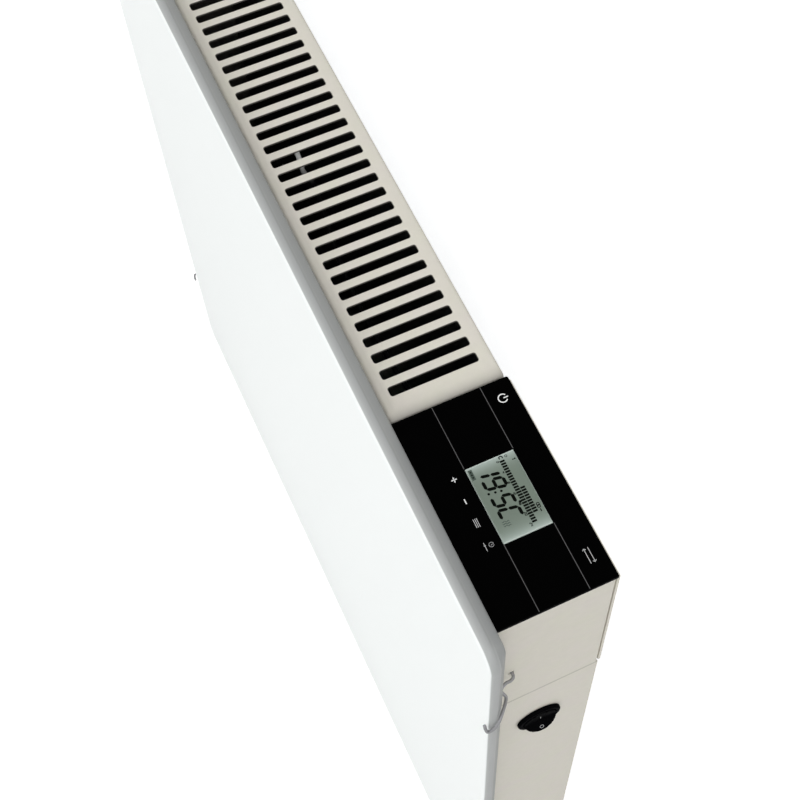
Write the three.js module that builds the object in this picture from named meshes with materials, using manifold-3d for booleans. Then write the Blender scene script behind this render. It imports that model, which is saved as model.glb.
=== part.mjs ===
// Wall panel convector heater, 500 x 500 mm, hung on two wall rails.
// Units are millimetres. +X is to the right seen from the room, +Y is into the wall, +Z is up.
// The origin is the middle of the upper wall rail's back face, where it lies against the wall.

import * as THREE from "three";
import { mergeVertices } from "three/addons/utils/BufferGeometryUtils.js";
import Module from "manifold-3d";

const wasm = await Module();
wasm.setup();

// ---------------------------------------------------------------- driving dimensions

// Running gap between two pieces that touch or seat on each other.
const seatGap = 0.3;

// Front panel: a pressed steel tray whose edges turn back and inwards.
const frontWidth = 500;
const frontHeight = 500;
const frontDepth = 9.9;
const frontInset = 7;
const frontCornerRadius = 11;
const frontEdgeRadius = 2.8;
const frontSheet = 1.2;

// Two top-hat rails inside the front panel, which carry it on the casing.
const stiffenerFromSide = 1;
const stiffenerHeight = 22;
const stiffenerFoot = 9;
const stiffenerSheet = 1;
const stiffenerFromMiddle = 150;

// How far the front panel reaches past the casing behind it.
const overhangSide = 17;
const overhangTop = 12.7;
const overhangBottom = 17;

// Casing.
const casingDepth = 55.5;
const casingSheet = 1.2;
const casingFlange = 11;
const topOfCasing = 92;
const backCoverDepth = 1.6;
const wallGap = 13;

// Outlet grille lid on top of the casing.
const lidHeight = 14;
const lidWall = 0.9;
const lidEdgeDrop = 3.2;
const lidFrontRound = 3.2;
const lidBackRound = 2;
const lidEndRound = 6.2;
const lidCornerRadius = 2.5;
const slotPitch = 8.954;
const slotWidth = 4.6;
const slotLength = 41.5;
const slotFromBack = 7.6;
const slotFromEnd = 14.33;
const slotCorner = 1.1;

// Inlet grille at the bottom.
const inletPitch = 17.9;
const inletWidth = 8.5;
const inletLength = 30;
const inletFromEnd = 48;
const bottomFlange = 12;

// Control module at the right end of the top.
const moduleLength = 102.8;
const moduleHeight = 105.5;
const moduleWall = 2;
const moduleCorner = 2;
const glassThickness = 2;
const glassDepth = 55.7;
const glassBackLap = 0.55;
const glassCorner = 1;
const displayFromLeft = 32.6;
const displayFromBack = 13.3;
const displayLength = 37.9;
const displayDepth = 23.2;
const displaySink = 0.25;
const displayFlange = 2.5;

// Boards inside the module.
const boardThickness = 1.6;
const touchPostHeight = 4.7;
const powerBoardLift = 24;
const boardEdge = 7;
const postRadius = 2.6;
const relayLength = 20;
const relayWidth = 16;
const relayHeight = 16;
const transformerLength = 28;
const transformerWidth = 24;
const transformerHeight = 22;
const terminalLength = 30;
const terminalWidth = 12;
const terminalHeight = 14;
const radioLength = 24;
const radioHeight = 16;
const relayFromCorner = 4;
const transformerFromCorner = 32;
const radioFromCorner = 4;
const radioFromBack = 6;
const bobbinStep = 5;
const bobbinCheek = 4;

// Round rocker switch on the right side.
const switchHoleRadius = 10.1;
const switchBezelRadius = 11.5;
const switchBezelProud = 2.1;
const switchBodyDepth = 21;
const switchWellRadius = 9.15;
const switchWellDepth = 9.2;
const switchFromBack = 28.9;
const switchBelowTop = 150.5;
const rockerRadius = 8.7;
const rockerPivotDepth = 0.9;
const rockerNeutralAngle = 20;
const rockerHalfTravel = 12;
const rockerPinRadius = 1.2;
const rockerPinReach = 0.35;
const rockerPinPlay = 0.15;
const rockerPinSlack = 0.25;
const rockerRoot = 6.3;
const rockerValley = 1.25;
const bladeWidth = 6.3;
const bladeThickness = 0.8;
const bladeLength = 9;
const bladeSpacing = 7;

// Wire clips that hold the front panel against the casing.
const clipWireRadius = 0.75;
const clipFromMiddle = 174.8;
const clipEyeFromFront = 9.1;
const clipGrip = 1.5;
const clipHoleRadius = 1.5;

// Heating element: an extruded aluminium star with a tube through it.
const elementLength = 300;
const elementFromLeft = 62;
const elementAboveBottom = 120;
const elementFinReach = 24;
const elementSideReach = 13;
const elementCore = 7;
const elementFin = 1.8;
const elementFinTip = 1.1;
const elementStubRadius = 4;
const elementStubLength = 22;
const bushRadius = 7.5;
const bushLength = 7;
const bushGroove = 2;
const elementBracketSheet = 1.2;
const elementBracketWidth = 26;
const elementBracketFoot = 14;

// Thermal cut-out above the element.
const cutoutRadius = 8;
const cutoutHeight = 6;
const cutoutAboveElement = 62;
const cutoutCapRadius = 5.5;
const cutoutCapHeight = 3;
const cutoutFlangeLength = 24;
const cutoutFlangeWidth = 9;
const cutoutFlangeSheet = 1;
const cutoutFromElementEnd = 40;
const cutoutTagInset = 2;
const cutoutTagSheet = 0.8;
const cutoutTagReach = 9;
const cutoutTagWidth = 6;

// Room sensor in the bottom grille.
const sensorFromRight = 26;
const sensorBarrelRadius = 4.2;
const sensorBarrelLength = 16;
const sensorBeadRadius = 2.2;
const sensorFlangeRadius = 7;
const sensorFlange = 2;

// Cable gland in the back panel; the mains lead is not part of the model.
const glandFromRight = 95;
const glandAboveBottom = 42;
const glandBore = 4;
const glandNeck = 7.7;
const glandFlangeRadius = 11;
const glandFlange = 3;
const glandNutRadius = 12;
const glandNut = 5;

// Leads.
const leadRadius = 1.25;
const leadSides = 8;
const sensorLeadRadius = 0.9;
const leadToSheet = 2.5;
const leadHoleRadius = 4.8;
const leadHoleBelowTop = 66;
const leadHoleBehindMiddle = 6;

// Wall rails and hangers.
const railLength = 250;
const railFace = 30;
const railSheet = 1.5;
const railLip = 13;
const railSpacing = 270;
const railHoleFromEnd = 22;
const railHoleWidth = 5.5;
const railHoleLength = 11;
const hangerFromRailEnd = 37;
const hangerWidth = 34;
const hangerSheet = 1.6;
const hangerTongue = 11;
const hangerFoot = 26;
const tonguePlay = 0.6;

// Pan head screws.
const screwShank = 1.6;
const screwHead = 3.2;
const screwHeadHeight = 1.9;
const screwLength = 7.5;
const screwClearance = 0.3;
const caseScrewFromEnd = 46;

// ---------------------------------------------------------------- planes worked out from them

const backY = -(wallGap + backCoverDepth);
const frontY = backY - casingDepth;
const rimY = frontY - seatGap;
const faceY = rimY - frontDepth;
const sideX = frontWidth / 2 - overhangSide;
const topZ = topOfCasing;
const bottomZ = topZ + overhangTop - frontHeight + overhangBottom;
const frontMiddleZ = topZ + overhangTop - frontHeight / 2;
const moduleLeft = sideX - moduleLength;
const moduleBottom = topZ - moduleHeight;
const glassBottom = topZ - glassThickness;
const housingTop = glassBottom - seatGap;
const lidRight = moduleLeft - seatGap;
const lidBottom = topZ - lidHeight;
const lidInnerX = sideX - lidWall - lidCornerRadius;
const lidInnerRight = lidRight - lidWall - lidCornerRadius;
const middleY = (frontY + backY) / 2;
const backSheetOuter = backY - casingSheet - seatGap;
const backSheetInner = backSheetOuter - casingSheet;
const shieldOuter = frontY + casingSheet + seatGap;
const shieldInner = shieldOuter + casingSheet;
const innerX = sideX - casingSheet - seatGap;
const hangerBack = backSheetOuter + seatGap + hangerSheet;
const railReach = -hangerBack - seatGap;

// ---------------------------------------------------------------- finishes

const finish = (color, roughness, metalness) =>
  new THREE.MeshStandardMaterial({ color, roughness, metalness });

const whiteEnamel = finish(0xf6f9f8, 0.35, 0.0);
const creamEnamel = finish(0xd5d3ca, 0.5, 0.0);
const blackGlass = finish(0x050505, 0.08, 0.0);
const displayGlass = finish(0x9db0a2, 0.25, 0.0);
const blackPlastic = finish(0x111112, 0.35, 0.0);
const zincSteel = finish(0xa9adb0, 0.4, 0.9);
const springWire = finish(0x8d9092, 0.3, 0.9);
const aluminium = finish(0xb9bcbe, 0.35, 0.9);
const ceramic = finish(0xe8e2d2, 0.7, 0.0);
const greenBoard = finish(0x1f5d3a, 0.5, 0.0);
const whiteSilicone = finish(0xe9e9e4, 0.6, 0.0);
const greyPlastic = finish(0x6b6d6f, 0.55, 0.0);
const bluePlastic = finish(0x27467f, 0.45, 0.0);
const brass = finish(0xb8964b, 0.35, 0.9);

// ---------------------------------------------------------------- geometry helpers

// A closed mesh as a solid that can be joined and cut.
function solidOf(geometry) {
  const plain = geometry.clone();
  plain.deleteAttribute("normal");
  plain.deleteAttribute("uv");
  const merged = mergeVertices(plain, 1e-4);
  return new wasm.Manifold(
    new wasm.Mesh({
      numProp: 3,
      vertProperties: new Float32Array(merged.attributes.position.array),
      triVerts: new Uint32Array(merged.index.array),
    }),
  );
}

// A solid back as a mesh geometry.
function geometryOf(solid) {
  const mesh = solid.getMesh();
  const geometry = new THREE.BufferGeometry();
  const stride = mesh.numProp;
  const count = mesh.vertProperties.length / stride;
  const points = new Float32Array(count * 3);
  for (let i = 0; i < count; i += 1) {
    points.set(mesh.vertProperties.subarray(i * stride, i * stride + 3), i * 3);
  }
  geometry.setAttribute("position", new THREE.BufferAttribute(points, 3));
  geometry.setIndex(new THREE.BufferAttribute(new Uint32Array(mesh.triVerts), 1));
  geometry.computeVertexNormals();
  return geometry;
}

const cut = (base, tools) => tools.reduce((left, tool) => left.subtract(tool), base);
const join = (solids) => solids.reduce((sum, one) => sum.add(one));

// A block between two opposite corners.
function block(x0, x1, y0, y1, z0, z1) {
  const box = new THREE.BoxGeometry(x1 - x0, y1 - y0, z1 - z0);
  box.translate((x0 + x1) / 2, (y0 + y1) / 2, (z0 + z1) / 2);
  return solidOf(box);
}

// A round bar from one point along an axis ("x", "y" or "z").
function bar(from, axis, length, radius, sides = 24) {
  const cylinder = new THREE.CylinderGeometry(radius, radius, length, sides);
  cylinder.translate(0, length / 2, 0);
  if (axis === "x") cylinder.rotateZ(-Math.PI / 2);
  if (axis === "z") cylinder.rotateX(Math.PI / 2);
  cylinder.translate(...from);
  return solidOf(cylinder);
}

// A turned piece: profile points are [radius, height] with the height along an axis.
function turned(profile, from, axis, sides = 24) {
  const lathe = new THREE.LatheGeometry(
    profile.map(([radius, height]) => new THREE.Vector2(radius, height)),
    sides,
  );
  if (axis === "x") lathe.rotateZ(-Math.PI / 2);
  if (axis === "-x") lathe.rotateZ(Math.PI / 2);
  if (axis === "-y") lathe.rotateX(Math.PI);
  if (axis === "z") lathe.rotateX(Math.PI / 2);
  lathe.translate(...from);
  return solidOf(lathe);
}

// An outline in the YZ plane carried along X from x0 to x1.
function alongX(points, x0, x1) {
  const shape = new THREE.Shape(points.map(([y, z]) => new THREE.Vector2(y, z)));
  const prism = new THREE.ExtrudeGeometry(shape, {
    depth: x1 - x0,
    bevelEnabled: false,
  });
  prism.applyMatrix4(
    new THREE.Matrix4().set(0, 0, 1, x0, 1, 0, 0, 0, 0, 1, 0, 0, 0, 0, 0, 1),
  );
  return solidOf(prism);
}

// An outline in the XZ plane carried along Y from y0 to y1.
function alongY(shape, y0, y1, curveSegments = 4) {
  const prism = new THREE.ExtrudeGeometry(shape, {
    depth: y1 - y0,
    bevelEnabled: false,
    curveSegments,
  });
  prism.rotateX(Math.PI / 2);
  prism.translate(0, y1, 0);
  return solidOf(prism);
}

// An outline in the XY plane carried up Z from z0 to z1.
function alongZ(shape, z0, z1, curveSegments = 4) {
  const prism = new THREE.ExtrudeGeometry(shape, {
    depth: z1 - z0,
    bevelEnabled: false,
    curveSegments,
  });
  prism.translate(0, 0, z0);
  return solidOf(prism);
}

// A rectangle with round corners, as a shape.
function roundedRectangle(x0, x1, y0, y1, radius) {
  const shape = new THREE.Shape();
  shape.moveTo(x0 + radius, y0);
  shape.lineTo(x1 - radius, y0);
  shape.absarc(x1 - radius, y0 + radius, radius, -Math.PI / 2, 0);
  shape.lineTo(x1, y1 - radius);
  shape.absarc(x1 - radius, y1 - radius, radius, 0, Math.PI / 2);
  shape.lineTo(x0 + radius, y1);
  shape.absarc(x0 + radius, y1 - radius, radius, Math.PI / 2, Math.PI);
  shape.lineTo(x0, y0 + radius);
  shape.absarc(x0 + radius, y0 + radius, radius, Math.PI, Math.PI * 1.5);
  return shape;
}

// One ring of a loft: a rectangle with round corners in the plane of two axes, as flat points.
function ringOf(u0, u1, v0, v1, radius, steps) {
  const ring = [];
  const corners = [
    [u1 - radius, v0 + radius, -90],
    [u1 - radius, v1 - radius, 0],
    [u0 + radius, v1 - radius, 90],
    [u0 + radius, v0 + radius, 180],
  ];
  for (const [u, v, start] of corners) {
    for (let i = 0; i <= steps; i += 1) {
      const angle = THREE.MathUtils.degToRad(start + (90 * i) / steps);
      ring.push([u + radius * Math.cos(angle), v + radius * Math.sin(angle)]);
    }
  }
  return ring;
}

// Skins a stack of equal rings of [x, y, z] points and closes both ends with a fan.
function loft(rings) {
  const size = rings[0].length;
  const points = rings.flat();
  const faces = [];
  for (let r = 0; r + 1 < rings.length; r += 1) {
    for (let i = 0; i < size; i += 1) {
      const a = r * size + i;
      const b = r * size + ((i + 1) % size);
      faces.push(a, b, b + size, a, b + size, a + size);
    }
  }
  const middle = (ring) => ring
    .reduce((sum, p) => sum.map((value, k) => value + p[k]), [0, 0, 0])
    .map((value) => value / size);
  const last = (rings.length - 1) * size;
  points.push(middle(rings[0]), middle(rings[rings.length - 1]));
  for (let i = 0; i < size; i += 1) {
    const next = (i + 1) % size;
    faces.push(points.length - 2, next, i);
    faces.push(points.length - 1, last + i, last + next);
  }
  const geometry = new THREE.BufferGeometry();
  geometry.setAttribute("position", new THREE.Float32BufferAttribute(points.flat(), 3));
  geometry.setIndex(faces);
  const skin = solidOf(geometry);
  if (skin.volume() > 0) return skin;
  geometry.setIndex(faces.reverse());
  return solidOf(geometry);
}

// A round tube along points joined by a smooth curve.
function tubeAlong(points, radius, steps, sides = leadSides) {
  const curve = new THREE.CatmullRomCurve3(
    points.map((p) => new THREE.Vector3(...p)),
    false,
    "centripetal",
  );
  const section = new THREE.Shape();
  for (let i = 0; i < sides; i += 1) {
    const angle = (i / sides) * Math.PI * 2;
    const x = radius * Math.cos(angle);
    const y = radius * Math.sin(angle);
    if (i === 0) section.moveTo(x, y);
    else section.lineTo(x, y);
  }
  section.closePath();
  return solidOf(
    new THREE.ExtrudeGeometry(section, { steps, bevelEnabled: false, extrudePath: curve }),
  );
}

const group = new THREE.Group();

function place(name, solid, material) {
  const mesh = new THREE.Mesh(geometryOf(solid), material);
  mesh.name = name;
  group.add(mesh);
}

// ---------------------------------------------------------------- front panel

// Rings of the front panel's skin: flat face, rolled edge, then the flange that turns inwards.
function frontPanelRings(offset) {
  const rings = [];
  const turn = Math.PI / 2 + Math.atan2(frontInset, frontDepth);
  const radius = frontEdgeRadius - offset;
  const ring = (inset, y) => {
    const corner = Math.max(frontCornerRadius - inset, 1);
    const x = frontWidth / 2 - inset;
    const z0 = frontMiddleZ - frontHeight / 2 + inset;
    const z1 = frontMiddleZ + frontHeight / 2 - inset;
    rings.push(ringOf(-x, x, z0, z1, corner, 5).map(([u, v]) => [u, y, v]));
  };
  const steps = 5;
  for (let i = 0; i <= steps; i += 1) {
    const angle = (turn * i) / steps;
    const inset = frontEdgeRadius - radius * Math.sin(angle);
    ring(inset, faceY + frontEdgeRadius - radius * Math.cos(angle));
  }
  ring(frontInset + offset, rimY);
  return rings;
}

function frontPanel() {
  const outside = frontPanelRings(0);
  const inside = frontPanelRings(frontSheet).reverse();
  return loft([...outside, ...inside]);
}

// A top-hat rail welded inside the tray; its crown lies on the casing's front flanges.
function panelStiffener(z) {
  const weldY = faceY + frontSheet + seatGap;
  const crownY = frontY - seatGap;
  const s = stiffenerSheet;
  const half = stiffenerHeight / 2;
  const foot = half + stiffenerFoot;
  const outline = [
    [weldY, z - foot], [weldY, z - half + s], [crownY - s, z - half + s],
    [crownY - s, z + half - s], [weldY, z + half - s], [weldY, z + foot],
    [weldY + s, z + foot], [weldY + s, z + half], [crownY, z + half], [crownY, z - half],
    [weldY + s, z - half], [weldY + s, z - foot],
  ];
  const reach = sideX - stiffenerFromSide;
  return alongX(outline, -reach, reach);
}

const stiffenerLevels = [
  frontMiddleZ + stiffenerFromMiddle, frontMiddleZ - stiffenerFromMiddle,
];

// ---------------------------------------------------------------- casing

// Rings of the lid's skin; offset shrinks it for the hollow.
function lidRings(offset) {
  const rings = [];
  const ring = (share, z) => {
    const x0 = -sideX + offset + lidFrontRound * share;
    const x1 = lidRight - offset - lidEndRound * share;
    const y0 = frontY + offset + lidFrontRound * share;
    const y1 = backY - offset - lidBackRound * share;
    const corner = Math.max(lidCornerRadius - offset, 0.6);
    rings.push(ringOf(x0, x1, y0, y1, corner, 3).map(([u, v]) => [u, v, z]));
  };
  const steps = 4;
  ring(0, lidBottom - (offset ? 1 : 0));
  for (let i = 0; i <= steps; i += 1) {
    const angle = (Math.PI / 2) * (i / steps);
    const rise = lidEdgeDrop * Math.sin(angle);
    ring(1 - Math.cos(angle), topZ - offset - lidEdgeDrop + rise);
  }
  return rings;
}

// Slot centres from a right-hand edge to a left-hand edge, each kept clear of its edge.
function slotCentres(right, left, fromEnd, pitch) {
  const count = Math.floor((right - left - 2 * fromEnd) / pitch) + 1;
  return Array.from({ length: count }, (_, i) => right - fromEnd - i * pitch);
}

function topGrille() {
  const back = backY - slotFromBack;
  const slots = slotCentres(lidRight + seatGap, -sideX, slotFromEnd, slotPitch).map((x) => {
    const outline = roundedRectangle(
      x - slotWidth / 2, x + slotWidth / 2, back - slotLength, back, slotCorner,
    );
    return alongZ(outline, lidBottom, topZ + 1, 2);
  });
  return cut(loft(lidRings(0)), [loft(lidRings(lidWall)), ...slots]);
}

// A side panel is a channel that opens inwards, closed at its bottom by the bottom grille.
function sidePanel(side, zTop) {
  const outer = block(-sideX, sideX, frontY, backY, bottomZ, zTop);
  const room = block(
    -sideX + casingSheet, sideX - casingSheet,
    frontY + casingSheet, backY - casingSheet, bottomZ - 1, zTop + 1,
  );
  const flangeX = sideX - casingFlange;
  const middle = block(-flangeX, flangeX, frontY - 1, backY + 1, bottomZ - 1, zTop + 1);
  const otherHalf = side > 0
    ? block(-sideX - 1, 0, frontY - 1, backY + 1, bottomZ - 1, zTop + 1)
    : block(0, sideX + 1, frontY - 1, backY + 1, bottomZ - 1, zTop + 1);
  return cut(outer, [room, middle, otherHalf]);
}

const clipLevels = [frontMiddleZ + clipFromMiddle, frontMiddleZ - clipFromMiddle];
const clipEyeY = frontY + clipEyeFromFront;

function clipHoles(side) {
  const inner = side > 0 ? sideX - casingFlange : -sideX - 1;
  return clipLevels.map((z) => bar([inner, clipEyeY, z], "x", casingFlange + 1, clipHoleRadius, 12));
}

const switchY = backY - switchFromBack;
const switchZ = topZ - switchBelowTop;

function caseScrewSpots() {
  const low = bottomZ + caseScrewFromEnd;
  const high = moduleBottom - caseScrewFromEnd;
  const x = sideX - casingFlange / 2 - casingSheet / 2;
  return [[-x, low], [-x, high], [x, low], [x, high]];
}

function caseScrewHoles() {
  return caseScrewSpots().map(([x, z]) =>
    bar([x, backY - 2 * screwLength, z], "y", 3 * screwLength, screwShank + screwClearance, 12));
}

function leftSidePanel() {
  const top = lidBottom - seatGap;
  return cut(sidePanel(-1, top), [...clipHoles(-1), ...caseScrewHoles()]);
}

function rightSidePanel() {
  const top = moduleBottom - seatGap;
  const hole = bar([sideX - 5, switchY, switchZ], "x", 10, switchHoleRadius);
  return cut(sidePanel(1, top), [...clipHoles(1), hole, ...caseScrewHoles()]);
}

// A flat inner sheet with the control module's corner cut away.
function innerSheet(y0, y1, zTop) {
  const low = bottomZ + casingSheet + seatGap;
  const notchX = moduleLeft - seatGap;
  const notchZ = moduleBottom - seatGap;
  const outline = new THREE.Shape([
    new THREE.Vector2(-innerX, low),
    new THREE.Vector2(innerX, low),
    new THREE.Vector2(innerX, notchZ),
    new THREE.Vector2(notchX, notchZ),
    new THREE.Vector2(notchX, lidBottom - seatGap),
    new THREE.Vector2(lidInnerRight, lidBottom - seatGap),
    new THREE.Vector2(lidInnerRight, zTop),
    new THREE.Vector2(-lidInnerX, zTop),
    new THREE.Vector2(-lidInnerX, lidBottom - seatGap),
    new THREE.Vector2(-innerX, lidBottom - seatGap),
  ]);
  return alongY(outline, y0, y1);
}

const glandX = sideX - glandFromRight;
const glandZ = bottomZ + glandAboveBottom;

const insideLidZ = topZ - lidWall - lidEdgeDrop - seatGap;

function backPanel() {
  const hole = bar([glandX, backSheetInner - 2, glandZ], "y", 6, glandNeck + seatGap);
  return cut(innerSheet(backSheetInner, backSheetOuter, insideLidZ), [hole, ...caseScrewHoles()]);
}

const shieldPanel = () => innerSheet(shieldOuter, shieldInner, insideLidZ);

const sensorX = sideX - sensorFromRight;

function bottomGrille() {
  const y0 = shieldInner + seatGap;
  const y1 = backSheetInner - seatGap;
  const channel = cut(
    block(-innerX, innerX, y0, y1, bottomZ, bottomZ + bottomFlange),
    [block(-innerX - 1, innerX + 1, y0 + casingSheet, y1 - casingSheet, bottomZ + casingSheet, topZ)],
  );
  const slots = slotCentres(innerX, -innerX, inletFromEnd, inletPitch).map((x) => {
    const outline = roundedRectangle(
      x - inletWidth / 2, x + inletWidth / 2,
      middleY - inletLength / 2, middleY + inletLength / 2, slotCorner,
    );
    return alongZ(outline, bottomZ - 1, bottomZ + casingSheet + 1, 1);
  });
  const sensorHole = bar(
    [sensorX, middleY, bottomZ - 1], "z", casingSheet + 2, sensorBarrelRadius + seatGap, 16,
  );
  return cut(channel, [...slots, sensorHole]);
}

// ---------------------------------------------------------------- control module

const glassBack = backY + glassBackLap;
const glassFront = glassBack - glassDepth;
const displayX0 = moduleLeft + displayFromLeft;
const displayX1 = displayX0 + displayLength;
const displayY1 = glassBack - displayFromBack;
const displayY0 = displayY1 - displayDepth;
const touchTop = housingTop - moduleWall - touchPostHeight;
const displayBottom = touchTop + seatGap;

function glass() {
  const outline = new THREE.Shape();
  outline.moveTo(moduleLeft, glassFront);
  outline.lineTo(sideX, glassFront);
  outline.lineTo(sideX, glassBack);
  outline.lineTo(moduleLeft + glassCorner, glassBack);
  outline.absarc(
    moduleLeft + glassCorner, glassBack - glassCorner, glassCorner, Math.PI / 2, Math.PI,
  );
  outline.lineTo(moduleLeft, glassFront);
  const window = block(displayX0, displayX1, displayY0, displayY1, glassBottom - 1, topZ + 1);
  return cut(alongZ(outline, glassBottom, topZ, 5), [window]);
}

function displayModule() {
  const body = block(
    displayX0 + seatGap, displayX1 - seatGap,
    displayY0 + seatGap, displayY1 - seatGap, displayBottom, topZ - displaySink,
  );
  const foot = block(
    displayX0 - displayFlange, displayX1 + displayFlange,
    displayY0 - displayFlange, displayY1 + displayFlange, displayBottom, displayBottom + 2,
  );
  return body.add(foot);
}

const moduleOutline = (inset, corner) => roundedRectangle(
  moduleLeft + inset, sideX - inset, frontY + inset, backY - inset, corner,
);

const housingX0 = moduleLeft + boardEdge;
const housingX1 = sideX - boardEdge;
const housingY0 = frontY + boardEdge;
const housingY1 = backY - boardEdge;
const postCorners = [
  [housingX0, housingY0], [housingX1, housingY0], [housingX0, housingY1], [housingX1, housingY1],
];

const leadHoleY = middleY + leadHoleBehindMiddle;
const leadHoleZ = topZ - leadHoleBelowTop;

function controlHousing() {
  const shell = cut(alongZ(moduleOutline(0, moduleCorner), moduleBottom, housingTop), [
    alongZ(moduleOutline(moduleWall, 0.6), moduleBottom - 1, housingTop - moduleWall),
  ]);
  const posts = postCorners.map(([x, y]) =>
    bar([x, y, touchTop + seatGap], "z", housingTop - moduleWall - touchTop, postRadius, 12));
  const window = block(
    displayX0 - 1, displayX1 + 1, displayY0 - 1, displayY1 + 1, touchTop, housingTop + 1,
  );
  const leadHole = bar([moduleLeft - 1, leadHoleY, leadHoleZ], "x", moduleWall + 2, leadHoleRadius, 16);
  return cut(join([shell, ...posts]), [window, leadHole, ...clipHoles(1)]);
}

const boardOutline = () => roundedRectangle(
  housingX0 - postRadius, housingX1 + postRadius,
  housingY0 - postRadius, housingY1 + postRadius, 1.5,
);

const touchBoard = () => alongZ(boardOutline(), touchTop - boardThickness, touchTop, 1);

const floorHoleX = housingX1 - 20;
const floorInset = moduleWall + seatGap;
const floorTop = moduleBottom + moduleWall;
const powerBottom = floorTop + powerBoardLift;
const powerTop = powerBottom + boardThickness;

function moduleFloor() {
  const plate = alongZ(moduleOutline(floorInset, 0.6), moduleBottom, floorTop, 1);
  const posts = postCorners.map(([x, y]) =>
    bar([x, y, floorTop - 0.5], "z", powerBoardLift + 0.5 - seatGap, postRadius, 12));
  const wireHole = bar(
    [floorHoleX, middleY, moduleBottom - 1], "z", moduleWall + 2, 5, 16,
  );
  return cut(join([plate, ...posts]), [wireHole]);
}

const powerBoard = () => alongZ(boardOutline(), powerBottom, powerTop, 1);

const moduleBackCover = () => block(
  moduleLeft + 1, sideX - 0.6, backY + seatGap, backY + backCoverDepth, moduleBottom, housingTop,
);

const onBoardZ = powerTop + seatGap;

const relay = () => block(
  housingX0 + relayFromCorner, housingX0 + relayFromCorner + relayLength,
  housingY0, housingY0 + relayWidth, onBoardZ, onBoardZ + relayHeight,
);

// A laminated core between two bobbin cheeks, as on a small board transformer.
function transformer() {
  const x0 = housingX0 + transformerFromCorner;
  const y0 = housingY0 + bobbinCheek;
  const core = block(
    x0, x0 + transformerLength, y0, y0 + transformerWidth, onBoardZ, onBoardZ + transformerHeight,
  );
  const waist = [-1, 1].map((side) => {
    const x = side < 0 ? x0 - bobbinStep + bobbinCheek : x0 + transformerLength - bobbinCheek;
    return block(
      x, x + bobbinStep, y0 + bobbinStep, y0 + transformerWidth - bobbinStep,
      onBoardZ + bobbinCheek, onBoardZ + transformerHeight - bobbinCheek,
    );
  });
  return cut(core, waist);
}

function terminalBlock() {
  const x0 = housingX1 - terminalLength;
  const y0 = housingY1 - terminalWidth;
  const body = block(
    x0, housingX1, y0, housingY1, onBoardZ, onBoardZ + terminalHeight,
  );
  const ports = [0.2, 0.5, 0.8].map((share) =>
    bar([x0 + terminalLength * share, y0 - 1, onBoardZ + 5], "y", terminalWidth * 0.7, 2.2, 12));
  const wells = [0.2, 0.5, 0.8].map((share) =>
    bar([x0 + terminalLength * share, y0 + 6, onBoardZ + 9], "z", terminalHeight, 2.4, 12));
  return cut(body, [...ports, ...wells]);
}

const radioBoard = () => block(
  housingX0 + radioFromCorner, housingX0 + radioFromCorner + radioLength,
  housingY1 - radioFromBack - boardThickness, housingY1 - radioFromBack,
  onBoardZ, onBoardZ + radioHeight,
);

// ---------------------------------------------------------------- rocker switch

const switchFace = sideX + switchBezelProud;
const pivotX = switchFace - rockerPivotDepth;

function switchBody() {
  const bezelBack = sideX + seatGap;
  const profile = [
    [0, bezelBack - switchBodyDepth],
    [switchHoleRadius - seatGap, bezelBack - switchBodyDepth],
    [switchHoleRadius - seatGap, bezelBack],
    [switchBezelRadius, bezelBack],
    [switchBezelRadius, switchFace - 0.9],
    [switchBezelRadius - 0.9, switchFace],
    [switchWellRadius, switchFace],
    [switchWellRadius, switchFace - switchWellDepth],
    [0, switchFace - switchWellDepth],
  ];
  const body = turned(profile, [0, switchY, switchZ], "x", 32);
  const reach = switchWellRadius + rockerPinReach + rockerPinPlay;
  const pinPocket = bar(
    [pivotX, switchY - reach, switchZ], "y", 2 * reach, rockerPinRadius + rockerPinSlack, 16,
  );
  const slots = bladeLevels().map((z) => bladeBlock(z, seatGap));
  return cut(body, [pinPocket, ...slots]);
}

function bladeLevels() {
  return [switchZ + bladeSpacing / 2, switchZ - bladeSpacing / 2];
}

// A flat push-on tag in the switch's back, grown by a clearance where it is the pocket.
function bladeBlock(z, grow) {
  const back = sideX + seatGap - switchBodyDepth;
  return block(
    back - bladeLength - grow, back + 4 + grow,
    switchY - bladeWidth / 2 - grow, switchY + bladeWidth / 2 + grow,
    z - bladeThickness / 2 - grow, z + bladeThickness / 2 + grow,
  );
}

// The rocker is a ball on its pivot, cut by two planes that make its pressed and raised halves.
function switchRocker() {
  const ball = new THREE.SphereGeometry(rockerRadius, 28, 14);
  ball.rotateZ(Math.PI / 2);
  const reach = switchWellRadius + rockerPinReach;
  const pin = bar([0, -reach, 0], "y", 2 * reach, rockerPinRadius, 16);
  const crown = rockerRadius * Math.sin(THREE.MathUtils.degToRad(rockerNeutralAngle));
  const edge = rockerRadius * Math.cos(THREE.MathUtils.degToRad(rockerNeutralAngle));
  const slope = (crown - rockerValley) / edge;
  const top = new THREE.Shape();
  top.moveTo(-rockerRoot, -edge - 1);
  top.lineTo(crown + slope, -edge - 1);
  top.lineTo(rockerValley, 0);
  top.lineTo(crown + slope, edge + 1);
  top.lineTo(-rockerRoot, edge + 1);
  const keep = new THREE.ExtrudeGeometry(top, { depth: 3 * rockerRadius, bevelEnabled: false });
  keep.rotateX(Math.PI / 2);
  keep.translate(0, 1.5 * rockerRadius, 0);
  const rocker = solidOf(ball).intersect(solidOf(keep)).add(pin);
  const pose = new THREE.Matrix4().makeRotationY(THREE.MathUtils.degToRad(-rockerHalfTravel));
  pose.setPosition(pivotX, switchY, switchZ);
  const geometry = geometryOf(rocker);
  geometry.applyMatrix4(pose);
  return solidOf(geometry);
}

// ---------------------------------------------------------------- wire clips

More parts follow.
